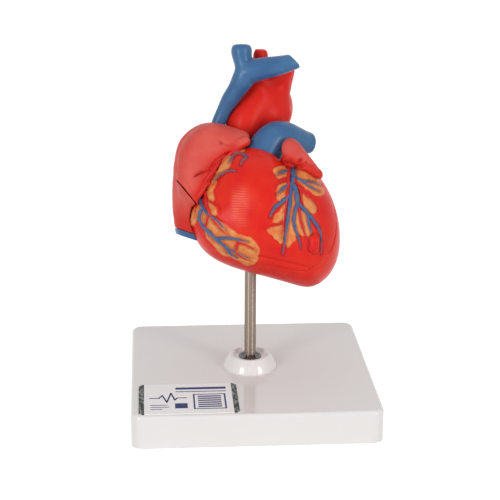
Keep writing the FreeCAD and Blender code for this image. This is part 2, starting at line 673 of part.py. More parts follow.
def make_left_auricle(heart):
    """Two-lobed left auricle on the shoulder of the front wall."""
    tip = blob(LEFT_AURICLE_TIP, LEFT_AURICLE_TIP_MID, LEFT_AURICLE_TIP_Z)
    base = blob(LEFT_AURICLE_BASE, LEFT_AURICLE_BASE_MID, LEFT_AURICLE_BASE_Z)
    auricle = tip.fuse(base).common(heart.front)
    return main_solid(cut_all(auricle, [heart.outer, heart.trunk_room]))


def make_left_atrium(heart, veins):
    """Left atrium on the back of the heart."""
    outside = blob(LEFT_ATRIUM, LEFT_ATRIUM_MID, LEFT_ATRIUM_Z)
    inside = blob(LEFT_ATRIUM, LEFT_ATRIUM_MID, LEFT_ATRIUM_Z, inset=ATRIUM_WALL)
    right_atrium = atrium_forms()[0]
    atrium = outside.cut(inside)
    passage = valve_passage(MITRAL, MITRAL[2])
    tools = [heart.outer, heart.aorta, heart.trunk, right_atrium, veins, passage]
    return main_solid(cut_all(atrium, tools))


def make_pulmonary_veins():
    """Four short stubs that open into the left atrium."""
    stubs = []
    for start, end in PULMONARY_VEINS:
        foot_r = PULMONARY_VEIN_R + PULMONARY_VEIN_FLARE
        stub = rod_between(start, end, foot_r, PULMONARY_VEIN_R)
        rim = [e for e in stub.Edges
               if isinstance(e.Curve, Part.Circle)
               and (e.Curve.Center - Vector(*end)).Length < 1e-3]
        stubs.append(stub.makeFillet(PULMONARY_VEIN_RIM, rim))
    inside = blob(LEFT_ATRIUM, LEFT_ATRIUM_MID, LEFT_ATRIUM_Z, inset=ATRIUM_WALL)
    return Part.makeCompound([main_solid(stub.cut(inside)) for stub in stubs])


def make_aorta(heart):
    """Aorta from its root over the arch to a short descending stub."""
    aorta = heart.aorta.cut(heart.left_chamber).cut(heart.trunk)
    return main_solid(aorta.cut(lumen(AORTA, VESSEL_WALL)))


def make_arch_branches(heart):
    """Three branches on top of the arch."""
    return Part.makeCompound([main_solid(tube(stations).cut(heart.aorta))
                              for stations in ARCH_BRANCHES.values()])


def make_pulmonary_trunk(heart):
    """Pulmonary trunk with the left and the right pulmonary artery."""
    trunk = heart.trunk.cut(heart.right_chamber)
    return main_solid(cut_all(trunk, [lumen(PULMONARY_TRUNK, VESSEL_WALL),
                                      lumen(RIGHT_PULMONARY_ARTERY, VESSEL_WALL)]))


def cava_form():
    """Outside of the superior vena cava with the two veins that join it."""
    vein = tube(LEFT_VEIN)
    knife = Part.makeBox(THROUGH, THROUGH, THROUGH, Vector(0, -THROUGH / 2, -THROUGH / 2))
    knife.Placement = Placement(Vector(*VEIN_CUT_AT), Rotation(Vector(0, 0, 1), VEIN_CUT_TURN))
    return tube(SUPERIOR_VENA_CAVA).fuse(vein.cut(knife))


def make_superior_vena_cava():
    """Superior vena cava, hollow from the atrium up."""
    hollows = atrium_forms()[1]
    cava = cava_form().cut(lumen(SUPERIOR_VENA_CAVA, VESSEL_WALL))
    return main_solid(cut_all(cava, hollows))


def make_inferior_vena_cava(heart):
    """Closed stub of the inferior vena cava, a slab across the atrium's foot."""
    outside = blob(RIGHT_ATRIUM, RIGHT_ATRIUM_MID, RIGHT_ATRIUM_Z)
    stub = outside.common(above_line(CAVA_CUT_AT, CAVA_CUT_TURN, -CAVA_STUB_LENGTH))
    return main_solid(cut_all(stub, [above_line(CAVA_CUT_AT, CAVA_CUT_TURN), heart.outer]))


# ---------------------------------------------------------------- valves


def make_flap_valve(valve):
    """Ring with leaflets that hang into the ventricle."""
    centre, flow, ring_r, length, cusps = valve
    half = FLAP_RING_HALF
    mouth = ring_r - FLAP_RING_HALF
    tip = ring_r * FLAP_TIP_SHARE
    profile = Part.makePolygon([
        Vector(ring_r, 0, -half), Vector(ring_r, 0, half), Vector(mouth, 0, half),
        Vector(tip + LEAFLET_THICK, 0, length), Vector(tip, 0, length),
        Vector(mouth - LEAFLET_THICK, 0, half / 2), Vector(mouth - LEAFLET_THICK / 2, 0, -half),
        Vector(ring_r, 0, -half),
    ])
    valve_body = Part.Face(profile).revolve(Vector(0, 0, 0), Vector(0, 0, 1), 360)
    for i in range(cusps):
        slit = Part.makeBox(ring_r, FLAP_SLIT, length, Vector(0, -FLAP_SLIT / 2, FLAP_SLIT_FROM))
        slit.rotate(Vector(0, 0, 0), Vector(0, 0, 1), 360.0 * i / cusps + FLAP_SLIT_TURN)
        valve_body = valve_body.cut(slit)
    valve_body.Placement = Placement(Vector(*centre), Rotation(Vector(0, 0, 1), Vector(*flow)))
    return valve_body


def make_cusp_valve(valve, vessel):
    """Ring with pocket-shaped cusps inside a vessel."""
    centre, flow, ring_r, length, cusps = valve
    bore = Part.makeCylinder(ring_r - CUSP_RING_WALL, CUSP_RING_HEIGHT)
    ring = Part.makeCylinder(ring_r, CUSP_RING_HEIGHT).cut(bore)
    floor = Part.makeCylinder(ring_r, LEAFLET_THICK)
    pocket_r = ring_r * CUSP_R_SHARE
    pockets = []
    for i in range(cusps):
        angle = math.radians(360.0 * i / cusps)
        offset = ring_r * CUSP_OFFSET_SHARE
        spot = Vector(offset * math.cos(angle), offset * math.sin(angle), length)
        pocket = Part.makeSphere(pocket_r, spot)
        pocket = pocket.cut(Part.makeSphere(pocket_r - LEAFLET_THICK, spot))
        pockets.append(pocket.common(Part.makeCylinder(ring_r, length)))
    body = fused([ring, floor] + pockets)
    body.Placement = Placement(Vector(*centre), Rotation(Vector(0, 0, 1), Vector(*flow)))
    return main_solid(body.common(lumen(vessel, VESSEL_WALL)))


def make_papillary(groups, chamber):
    """Cone-shaped muscles on the chamber wall and the cords they hold."""
    pieces = []
    for foot, tip, foot_r, ties in groups:
        pieces.append(rod_between(foot, tip, foot_r, foot_r * PAPILLARY_TAPER))
        pieces += [rod_between(tip, tie, CORD_R) for tie in ties]
    return fused(pieces).common(chamber)


# ---------------------------------------------------------------- build

export(make_base_plate(), "base_plate")
export(make_stand_rod(), "stand_rod")
export(make_star_lock_washer(), "star_lock_washer")
export(make_under_washer(), "under_washer")
export(make_rod_nut(), "rod_nut")
export(make_info_label(), "info_label")
export(make_rod_socket(), "rod_socket")

heart = Heart()
export(in_world(make_rear_shell(heart)), "rear_shell")
export(in_world(make_rear_liner(heart)), "rear_liner")
export(in_world(make_front_shell(heart)), "front_shell")
export(in_world(make_front_liner(heart)), "front_liner")
export(in_world(make_locating_pegs()), "locating_pegs")

export(in_world(make_right_atrium(heart, cava_form())), "right_atrium")
export(in_world(make_right_auricle(heart)), "right_auricle")
export(in_world(make_left_auricle(heart)), "left_auricle")
vein_stubs = make_pulmonary_veins()
export(in_world(vein_stubs), "pulmonary_veins")
export(in_world(make_left_atrium(heart, vein_stubs)), "left_atrium")
export(in_world(make_aorta(heart)), "aorta")
export(in_world(make_arch_branches(heart)), "arch_branches")
export(in_world(make_pulmonary_trunk(heart)), "pulmonary_trunk")
export(in_world(make_superior_vena_cava()), "superior_vena_cava")
export(in_world(make_inferior_vena_cava(heart)), "inferior_vena_cava")
export(in_world(make_flap_valve(TRICUSPID)), "tricuspid_valve")
export(in_world(make_flap_valve(MITRAL)), "mitral_valve")
export(in_world(make_cusp_valve(PULMONARY_VALVE, PULMONARY_TRUNK)), "pulmonary_valve")
export(in_world(make_cusp_valve(AORTIC_VALVE, AORTA)), "aortic_valve")
right_muscles = make_papillary(RIGHT_PAPILLARY, heart.right_chamber)
left_muscles = make_papillary(LEFT_PAPILLARY, heart.left_chamber)
export(in_world(right_muscles), "right_papillary_muscles")
export(in_world(left_muscles), "left_papillary_muscles")
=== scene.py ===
import json
import math

import bpy
import numpy as np
from mathutils import Matrix, Vector, noise
from mathutils.bvhtree import BVHTree


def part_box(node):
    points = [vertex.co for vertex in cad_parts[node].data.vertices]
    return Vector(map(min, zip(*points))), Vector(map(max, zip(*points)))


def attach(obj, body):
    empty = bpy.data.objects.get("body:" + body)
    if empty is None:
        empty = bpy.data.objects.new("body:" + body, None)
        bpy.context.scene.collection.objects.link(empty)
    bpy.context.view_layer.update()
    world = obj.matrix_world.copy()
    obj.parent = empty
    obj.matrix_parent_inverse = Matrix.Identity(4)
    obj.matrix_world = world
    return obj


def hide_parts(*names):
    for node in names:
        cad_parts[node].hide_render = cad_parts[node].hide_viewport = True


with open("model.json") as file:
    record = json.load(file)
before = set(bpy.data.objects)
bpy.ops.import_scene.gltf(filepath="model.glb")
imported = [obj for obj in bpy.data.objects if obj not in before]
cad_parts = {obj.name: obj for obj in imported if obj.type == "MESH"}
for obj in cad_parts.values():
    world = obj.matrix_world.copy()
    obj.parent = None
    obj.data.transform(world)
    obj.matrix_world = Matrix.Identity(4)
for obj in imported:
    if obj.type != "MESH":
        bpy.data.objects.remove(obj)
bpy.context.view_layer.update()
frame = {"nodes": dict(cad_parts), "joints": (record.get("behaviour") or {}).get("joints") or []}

MM = 0.001


# ------------------------------------------------------------------ camera
# A long lens at the eye height of someone seated at the table, a little to the left of the model.

EYE_TURN = math.radians(-4.116)
EYE_RISE = math.radians(17.909)
EYE_ROLL = math.radians(0.349)
EYE_DISTANCE = 0.7459
EYE_AIM = Vector((-0.00034, 0.0, 0.08121))
LENS_MM = 104.15
SENSOR_MM = 36.0

eye_back = Vector((math.sin(EYE_TURN) * math.cos(EYE_RISE), -math.cos(EYE_TURN) * math.cos(EYE_RISE),
                   math.sin(EYE_RISE)))
level_right = Vector((0, 0, 1)).cross(eye_back).normalized()
level_up = eye_back.cross(level_right)
eye_right = level_right * math.cos(EYE_ROLL) + level_up * math.sin(EYE_ROLL)
eye_up = level_up * math.cos(EYE_ROLL) - level_right * math.sin(EYE_ROLL)
bpy.ops.object.camera_add()
camera = bpy.context.object
camera.matrix_world = Matrix.Translation(EYE_AIM + eye_back * EYE_DISTANCE) @ Matrix(
    (eye_right, eye_up, eye_back)).transposed().to_4x4()
camera.data.lens = LENS_MM
camera.data.sensor_width = SENSOR_MM
camera.data.clip_start = 0.01
camera.data.clip_end = 20.0
bpy.context.scene.camera = camera
bpy.context.scene.view_settings.view_transform = "Standard"


# ------------------------------------------------------------------ studio
# Two soft boxes in front, left and right, a weak one overhead, and a white sweep all round.

LAMPS = {
    "soft_box_left": ((-0.68, -0.78, 0.42), (0.30, 0.60), 4.1),
    "soft_box_right": ((0.70, -0.76, 0.40), (0.26, 0.60), 3.5),
    "soft_box_top": ((0.0, 0.15, 0.95), (0.60, 0.50), 0.3),
}
LAMP_AIM = Vector((0, 0, 0.10))
SKY_FILL = 0.45
FLOOR_SIZE = 6.0
FLOOR_LEVEL = -0.0002
FLOOR_TONE = 0.80
FLOOR_GLOW = 0.66

for lamp_name, (place, (wide, tall), power) in LAMPS.items():
    bpy.ops.object.light_add(type="AREA", location=place)
    lamp = bpy.context.object
    lamp.name = lamp_name
    lamp.rotation_euler = (LAMP_AIM - Vector(place)).to_track_quat("-Z", "Y").to_euler()
    lamp.data.shape = "RECTANGLE"
    lamp.data.size = wide
    lamp.data.size_y = tall
    lamp.data.energy = power


def maths(tree, operation, *values):
    """A maths node over sockets or plain numbers."""
    node = tree.nodes.new("ShaderNodeMath")
    node.operation = operation
    for socket, value in zip(node.inputs, values):
        if isinstance(value, float):
            socket.default_value = value
        else:
            tree.links.new(value, socket)
    return node.outputs[0]


def seen_rays(tree):
    """1 for the rays that show the background: straight, mirrored or through glass."""
    path = tree.nodes.new("ShaderNodeLightPath")
    first = maths(tree, "MAXIMUM", path.outputs["Is Camera Ray"], path.outputs["Is Glossy Ray"])
    return maths(tree, "MAXIMUM", first, path.outputs["Is Transmission Ray"])


world = bpy.data.worlds.new("white_sweep")
bpy.context.scene.world = world
world.use_nodes = True
sky = world.node_tree
sky.nodes.clear()
sky_out = sky.nodes.new("ShaderNodeOutputWorld")
sky_light = sky.nodes.new("ShaderNodeBackground")
sky_light.inputs["Color"].default_value = (1.0, 1.0, 1.0, 1.0)
sky_range = sky.nodes.new("ShaderNodeMapRange")
sky_range.inputs["To Min"].default_value = SKY_FILL
sky_range.inputs["To Max"].default_value = 1.0
sky.links.new(seen_rays(sky), sky_range.inputs["Value"])
sky.links.new(sky_range.outputs["Result"], sky_light.inputs["Strength"])
sky.links.new(sky_light.outputs["Background"], sky_out.inputs["Surface"])

bpy.ops.mesh.primitive_plane_add(size=FLOOR_SIZE, location=(0, 0, FLOOR_LEVEL))
floor = bpy.context.object
floor.name = "floor"
floor_paint = bpy.data.materials.new("floor_paint")
floor_paint.use_nodes = True
sheet = floor_paint.node_tree
sheet.nodes.clear()
sheet_out = sheet.nodes.new("ShaderNodeOutputMaterial")
sheet_matt = sheet.nodes.new("ShaderNodeBsdfDiffuse")
sheet_matt.inputs["Color"].default_value = (FLOOR_TONE, FLOOR_TONE, FLOOR_TONE, 1.0)
sheet_glow = sheet.nodes.new("ShaderNodeEmission")
sheet_sum = sheet.nodes.new("ShaderNodeAddShader")
sheet.links.new(maths(sheet, "MULTIPLY", seen_rays(sheet), FLOOR_GLOW), sheet_glow.inputs["Strength"])
sheet.links.new(sheet_matt.outputs[0], sheet_sum.inputs[0])
sheet.links.new(sheet_glow.outputs[0], sheet_sum.inputs[1])
sheet.links.new(sheet_sum.outputs[0], sheet_out.inputs["Surface"])
floor.data.materials.append(floor_paint)


# ------------------------------------------------------------------ base plate
# One white injection-moulded plate with a dished boss in its middle that the rod stands in.
# Its skin is glossy, with the faint ripple that moulded plastic has over its ribs.


def linear(red, green, blue):
    """A colour written as 0 to 255, as the shader wants it."""
    return tuple(((c / 255 + 0.055) / 1.055) ** 2.4 if c > 10 else c / 255 / 12.92
                 for c in (red, green, blue)) + (1.0,)


def finish_of(name, rough, coat=0.0, metal=0.0, shine=0.5):
    """A new material with its shader; the caller adds colour and relief."""
    material = bpy.data.materials.new(name)
    material.use_nodes = True
    tree = material.node_tree
    shader = tree.nodes["Principled BSDF"]
    shader.inputs["Metallic"].default_value = metal
    shader.inputs["Roughness"].default_value = rough
    shader.inputs["Coat Weight"].default_value = coat
    shader.inputs["Coat Roughness"].default_value = 0.12
    shader.inputs["Specular IOR Level"].default_value = shine
    return material, tree, shader


def grain_of(tree, size_mm, detail=3.0, stretch=(1, 1, 1)):
    """Soft noise over the piece's own coordinates, with grains of about size_mm."""
    place = tree.nodes.new("ShaderNodeTexCoord")
    scale = tree.nodes.new("ShaderNodeMapping")
    scale.inputs["Scale"].default_value = stretch
    grain = tree.nodes.new("ShaderNodeTexNoise")
    grain.inputs["Scale"].default_value = 1.0 / (size_mm * MM)
    grain.inputs["Detail"].default_value = detail
    tree.links.new(place.outputs["Object"], scale.inputs["Vector"])
    tree.links.new(scale.outputs["Vector"], grain.inputs["Vector"])
    return grain.outputs["Fac"]


def spread(tree, value, low, high, to_low, to_high):
    """Map a value from one range to another, held at both ends."""
    node = tree.nodes.new("ShaderNodeMapRange")
    for socket, number in zip(("From Min", "From Max", "To Min", "To Max"), (low, high, to_low, to_high)):
        node.inputs[socket].default_value = number
    tree.links.new(value, node.inputs["Value"])
    return node.outputs["Result"]


def tinted(tree, share, under, over):
    """Mix two colours, each a socket or a colour, by a share."""
    node = tree.nodes.new("ShaderNodeMix")
    node.data_type = "RGBA"
    tree.links.new(share, node.inputs["Factor"])
    for name, colour in (("A", under), ("B", over)):
        socket = [s for s in node.inputs if s.name == name and s.type == "RGBA"][0]
        if isinstance(colour, tuple):
            socket.default_value = colour
        else:
            tree.links.new(colour, socket)
    return [s for s in node.outputs if s.type == "RGBA"][0]


def raised(tree, shader, layers):
    """Chain bumps, each a height, its depth in mm and its strength, into the shader's normal."""
    before = None
    for height, depth_mm, strength in layers:
        bump = tree.nodes.new("ShaderNodeBump")
        bump.inputs["Distance"].default_value = depth_mm * MM
        bump.inputs["Strength"].default_value = strength
        tree.links.new(height, bump.inputs["Height"])
        if before is not None:
            tree.links.new(before, bump.inputs["Normal"])
        before = bump.outputs["Normal"]
    tree.links.new(before, shader.inputs["Normal"])


def dress(node, material):
    """Give a frame node its finish."""
    piece = frame["nodes"][node]
    piece.data.materials.clear()
    piece.data.materials.append(material)


plate_finish, tree, shader = finish_of("moulded_white", 0.14, coat=0.2)
tree.links.new(tinted(tree, grain_of(tree, 40), linear(234, 231, 229), linear(238, 236, 234)),
               shader.inputs["Base Color"])
tree.links.new(spread(tree, grain_of(tree, 9), 0.3, 0.7, 0.11, 0.17), shader.inputs["Roughness"])
raised(tree, shader, [(grain_of(tree, 22, 1.0), 0.20, 0.20)])
dress("base_plate", plate_finish)


# ------------------------------------------------------------------ rod and its fixings
# A drawn rod with a bright nickel finish, held by a toothed spring-steel washer in the boss,
# and by a washer and a nut under the plate.

rod_finish, tree, shader = finish_of("bright_nickel", 0.42, metal=1.0)
tree.links.new(tinted(tree, grain_of(tree, 3, 2.0, (1, 1, 0.05)), linear(154, 139, 127),
                      linear(166, 152, 140)), shader.inputs["Base Color"])
tree.links.new(spread(tree, grain_of(tree, 3, 2.0, (1, 1, 0.02)), 0.3, 0.7, 0.38, 0.46),
               shader.inputs["Roughness"])
shader.inputs["Anisotropic"].default_value = 0.9
shader.inputs["Anisotropic Rotation"].default_value = 0.25
shader.inputs["Specular Tint"].default_value = (0.60, 0.55, 0.50, 1.0)
dress("stand_rod", rod_finish)
dress("locating_pegs", rod_finish)

spring_finish, tree, shader = finish_of("spring_steel", 0.34, metal=1.0)
tree.links.new(tinted(tree, grain_of(tree, 1.2), linear(70, 68, 70), linear(132, 130, 130)),
               shader.inputs["Base Color"])
tree.links.new(spread(tree, grain_of(tree, 0.6), 0.3, 0.7, 0.25, 0.48), shader.inputs["Roughness"])
for node in ("star_lock_washer", "under_washer", "rod_nut"):
    dress(node, spring_finish)


# ------------------------------------------------------------------ label
# A glossy paper label with a strip of dark metallic foil at each end, its glints painted into its colour.
# Its print is a plain pulse line with bars and a frame, in navy.

label_low, label_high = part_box("info_label")
FOIL_WIDTH = 2.7 * MM
FOIL_BLUR = 0.05 * MM
label_finish, tree, shader = finish_of("label_paper", 0.32, shine=0.2)
place = tree.nodes.new("ShaderNodeTexCoord")
axes = tree.nodes.new("ShaderNodeSeparateXYZ")
tree.links.new(place.outputs["Object"], axes.inputs["Vector"])
from_middle = maths(tree, "SUBTRACT", axes.outputs["X"], (label_low.x + label_high.x) / 2)
aside = maths(tree, "ABSOLUTE", from_middle)
foil_from = (label_high.x - label_low.x) / 2 - FOIL_WIDTH
is_foil = spread(tree, aside, foil_from - FOIL_BLUR, foil_from + FOIL_BLUR, 0.0, 1.0)
# Painted highlight: bright glints in the foil's colour.
painted_foil_glint = spread(tree, grain_of(tree, 1.1, 4.0, (1.0, 0.35, 1.0)), 0.48, 0.68, 0.0, 1.0)
foil_colour = tinted(tree, painted_foil_glint, linear(12, 16, 15), linear(150, 162, 156))
paper_colour = tinted(tree, grain_of(tree, 6), linear(252, 252, 253), linear(255, 255, 255))
tree.links.new(tinted(tree, is_foil, paper_colour, foil_colour), shader.inputs["Base Color"])
tree.links.new(spread(tree, is_foil, 0.0, 1.0, 0.0, 0.35), shader.inputs["Metallic"])
dress("info_label", label_finish)

# The print, in mm on the plate, as (left, bottom), (right, top)
INK_THICK = 0.04 * MM
INK_BARS = {
    "heading": ((-40.0, -30.6), (-14.5, -28.0)),
    "heading_rule": ((-40.0, -33.7), (-14.5, -32.9)),
    "foot_line_1": ((-52.8, -52.2), (-43.6, -51.6)),
    "foot_line_2": ((-52.8, -54.6), (-47.0, -54.0)),
    "foot_line_3": ((-52.8, -49.8), (-44.4, -49.2)),
    "middle_block": ((-40.4, -53.6), (-34.6, -47.6)),
}
PULSE = [(-53.0, -41.0), (-48.5, -41.0), (-46.8, -37.6), (-44.6, -46.0), (-42.4, -35.0), (-40.6, -43.4),
         (-39.4, -41.0), (-35.0, -41.0)]
FRAME_BOX = ((-31.0, -54.5), (-15.5, -37.0))
FRAME_STRIPES = 6
STRIPE_INSET = 2.6
INK_LINE = 0.8
STRIPE_LINE = INK_LINE * 1.7


def only(piece):
    """Select one piece and make it the active one."""
    bpy.ops.object.select_all(action="DESELECT")
    piece.select_set(True)
    bpy.context.view_layer.objects.active = piece


def applied(piece, kind, **settings):
    """Add a modifier, set it, and apply it."""
    only(piece)
    modifier = piece.modifiers.new(kind.lower(), kind)
    for name, value in settings.items():
        setattr(modifier, name, value)
    bpy.ops.object.modifier_apply(modifier=modifier.name)


def ink_strip(start, end, width):
    """A thin printed strip from start to end, in mm on the label."""
    middle = (Vector(start) + Vector(end)) / 2
    run = Vector(end) - Vector(start)
    bpy.ops.mesh.primitive_cube_add(size=1.0, rotation=(0, 0, math.atan2(run.y, run.x)),
                                    location=(middle.x * MM, middle.y * MM, label_high.z + 0.5 * INK_THICK))
    strip = bpy.context.object
    strip.scale = ((run.length + width) * MM, width * MM, INK_THICK)
    return strip


strips = []
for (x1, y1), (x2, y2) in INK_BARS.values():
    middle, high = (y1 + y2) / 2, y2 - y1
    strips.append(ink_strip((x1 + high / 2, middle), (x2 - high / 2, middle), high))
strips += [ink_strip(a, b, INK_LINE) for a, b in zip(PULSE, PULSE[1:])]
(left, bottom), (right, top) = FRAME_BOX
ring = [(left, bottom), (right, bottom), (right, top), (left, top), (left, bottom)]
strips += [ink_strip(a, b, INK_LINE) for a, b in zip(ring, ring[1:])]
for i in range(FRAME_STRIPES):
    height = bottom + (top - bottom) * (i + 1) / (FRAME_STRIPES + 1)
    strips.append(ink_strip((left + STRIPE_INSET, height), (right - STRIPE_INSET, height), STRIPE_LINE))
bpy.ops.object.select_all(action="DESELECT")
for strip in strips:
    strip.select_set(True)
bpy.context.view_layer.objects.active = strips[0]
bpy.ops.object.join()
bpy.ops.object.transform_apply(location=True, rotation=True, scale=True)
ink = bpy.context.object
ink.name = "label_print"
ink_finish, tree, shader = finish_of("navy_ink", 0.40, shine=0.15)
tree.links.new(tinted(tree, grain_of(tree, 0.5), linear(8, 30, 92), linear(22, 52, 120)),
               shader.inputs["Base Color"])
ink.data.materials.append(ink_finish)
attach(ink, "stand")


# ------------------------------------------------------------------ ventricles
# Two hollow vinyl castings, the front wall and the rear, painted red, with the fat of the grooves
# painted over them. Their relief is worked in here, in mm along the heart's own axes: right, up
# along the heart, and out of its front.

HEART_MIDDLE = Vector((0, 0, 0.110))
pull = next(joint for joint in frame["joints"] if joint["name"] == "front_wall_pull")
OUT = Vector(pull["axis"]).normalized()
RIGHT = Vector((1, 0, 0))
UP = OUT.cross(RIGHT)
AXES = np.array([RIGHT, UP, OUT])
PARTING_OUT = 6.2
PARTING_TILT = math.radians(20.0)
ATRIUM_SEAM_AT = (-38.5, 9.6)
ATRIUM_SEAM_TURN = math.radians(-52.3)
CRISP_EDGE = (0.5, 2.5)
FRONT_GRAIN = 0.50 * MM
REAR_GRAIN = 0.60 * MM
SKIN_PASSES = 5
NEAR_PASSES = 12
WIDE_PASSES = 26
SOFT_PASSES = 240
VENTRICLES_MIDDLE = np.array((9.0, -11.0, 0.0))
NO_FAT = -9.0


def heart_points(piece):
    """The piece's points in the heart's axes, in mm."""
    flat = np.empty(len(piece.data.vertices) * 3, np.float32)
    piece.data.vertices.foreach_get("co", flat)
    return (flat.reshape(-1, 3) - np.array(HEART_MIDDLE)) @ AXES.T / MM


def heart_normals(piece):
    """The piece's normals in the heart's axes."""
    flat = np.empty(len(piece.data.vertices) * 3, np.float32)
    piece.data.vertex_normals.foreach_get("vector", flat)
    return flat.reshape(-1, 3) @ AXES.T


def put_back(piece, points):
    """Write points in the heart's axes back into the piece."""
    placed = (points * MM) @ AXES + np.array(HEART_MIDDLE)
    piece.data.vertices.foreach_set("co", placed.astype(np.float32).ravel())
    piece.data.update()


def near_mean(piece, values, passes):
    """Average values over each point's neighbours, several times."""
    edges = np.empty(len(piece.data.edges) * 2, np.int32)
    piece.data.edges.foreach_get("vertices", edges)
    a, b = edges.reshape(-1, 2).T
    count = np.bincount(a, minlength=len(values)) + np.bincount(b, minlength=len(values))
    values = np.array(values, float).reshape(len(values), -1)
    for _ in range(passes):
        columns = [np.bincount(a, column[b], len(values)) + np.bincount(b, column[a], len(values))
                   for column in values.T]
        values = 0.5 * values + 0.5 * np.array(columns).T / np.maximum(count, 1)[:, None]
    return values.squeeze()


def mark(piece, name, values):
    """Keep one value for each point, for the paint to read."""
    layer = piece.data.attributes.new(name, "FLOAT", "POINT")
    layer.data.foreach_set("value", np.asarray(values, np.float32))


def ease(values, low, high):
    """0 below low, 1 above high, and smooth between."""
    share = np.clip((values - low) / (high - low), 0, 1)
    return share * share * (3 - 2 * share)


def from_face(points):
    """0 on the parting face, 1 well away from it."""
    off = points[:, 2] - PARTING_OUT + math.tan(PARTING_TILT) * points[:, 1]
    return ease(np.abs(off) * math.cos(PARTING_TILT), *CRISP_EDGE)


def from_seam(points):
    """0 on the atrium's seam and, above it, on the parting face; 1 well away from both."""
    across = points[:, 0] - ATRIUM_SEAM_AT[0]
    along = points[:, 1] - ATRIUM_SEAM_AT[1]
    off = along * math.cos(ATRIUM_SEAM_TURN) - across * math.sin(ATRIUM_SEAM_TURN)
    seam = ease(np.abs(off), *CRISP_EDGE)
    return np.where(off > 0, np.minimum(from_face(points), seam), seam)


def casting(node, name, grain, passes, keep=None, fills=()):
    """A copy of a node's form, merged, evenly meshed and softened as a casting is.

    Fills are balls that round out its corners, as (right, up, out, radius). Keep is the share of
    the softening that each point takes, for edges that stay crisp.
    """
    mesh = frame["nodes"][node].data.copy()
    mesh.name = name
    piece = bpy.data.objects.new(name, mesh)
    bpy.context.scene.collection.objects.link(piece)
    only(piece)
    bpy.ops.object.mode_set(mode="EDIT")
    bpy.ops.mesh.select_all(action="SELECT")
    bpy.ops.mesh.remove_doubles(threshold=0.01 * MM)
    for right, up, out, radius in fills:
        middle = HEART_MIDDLE + (RIGHT * right + UP * up + OUT * out) * MM
        bpy.ops.mesh.primitive_uv_sphere_add(segments=32, ring_count=16, radius=radius * MM,
                                             location=middle)
    bpy.ops.object.mode_set(mode="OBJECT")
    applied(piece, "REMESH", mode="VOXEL", voxel_size=grain, use_smooth_shade=True)
    applied(piece, "SMOOTH", factor=0.5, iterations=2 if keep is None else 1)
    points = heart_points(piece)
    soft = near_mean(piece, points, passes)
    share = np.ones(len(points)) if keep is None else keep(points)
    put_back(piece, points + (soft - points) * share[:, None])
    piece.data.materials.clear()
    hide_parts(node)
    return piece


def rounded_course(points, closed=False, steps=6):
    """A smooth line through a few chosen points."""
    points = [np.array(p, float) for p in points]
    count = len(points)
    ends = range(count if closed else count - 1)
    line = []
    for i in ends:
        if closed:
            p0, p1, p2, p3 = (points[(i + k) % count] for k in (-1, 0, 1, 2))
        else:
            p0, p1, p2, p3 = (points[min(max(i + k, 0), count - 1)] for k in (-1, 0, 1, 2))
        for t in np.arange(steps) / steps:
            line.append(0.5 * (2 * p1 + (p2 - p0) * t + (2 * p0 - 5 * p1 + 4 * p2 - p3) * t ** 2
                               + (3 * p1 - p0 - 3 * p2 + p3) * t ** 3))
    if not closed:
        line.append(points[-1])
    return np.array(line)


def course_gap(points, line):
    """Distance from each point to a line, how far along it is, and on which side."""
    best = np.full(len(points), 1e9)
    along = np.zeros(len(points))
    side = np.zeros(len(points))
    for i, (a, b) in enumerate(zip(line, line[1:])):
        run = b - a
        share = np.clip(((points - a) @ run) / max(run @ run, 1e-9), 0, 1)
        off = points - a - share[:, None] * run
        gap = np.hypot(off[:, 0], off[:, 1])
        nearer = gap < best
        best[nearer] = gap[nearer]
        along[nearer] = (i + share[nearer]) / (len(line) - 1)
        cross = run[0] * (points[:, 1] - a[1]) - run[1] * (points[:, 0] - a[0])
        side[nearer] = np.sign(cross[nearer])
    return best, along, side


def beside(points, course):
    """The same for a course of a few chosen points, seen along the heart's out axis."""
    return course_gap(points[:, :2], rounded_course(course))


def bell(gap, width):
    """1 on a line, falling smoothly to nothing beside it."""
    return np.exp(-(gap / width) ** 2)


def fades(along, low, high):
    """1 up to low, 0 above high, and smooth between."""
    return 1 - ease(along, low, high)


def depth_inside(points, outline):
    """How far each point lies inside a closed outline; negative outside."""
    ring = np.vstack([outline, outline[:1]])
    gap = course_gap(points, ring)[0]
    inside = np.zeros(len(points), bool)
    for (x1, y1), (x2, y2) in zip(ring, ring[1:]):
        if y1 == y2:
            continue
        crossing = (points[:, 1] > min(y1, y2)) & (points[:, 1] <= max(y1, y2))
        reach = x1 + (points[:, 1] - y1) * (x2 - x1) / (y2 - y1)
        inside ^= crossing & (points[:, 0] < reach)
    return np.where(inside, gap, -gap)


def lumps(points, size_mm, seed):
    """Smooth noise from -1 to 1 at each point."""
    shift = Vector((seed * 7.3, seed * 3.1, seed * 5.7))
    return np.array([noise.noise(Vector(p) / size_mm + shift) for p in points])


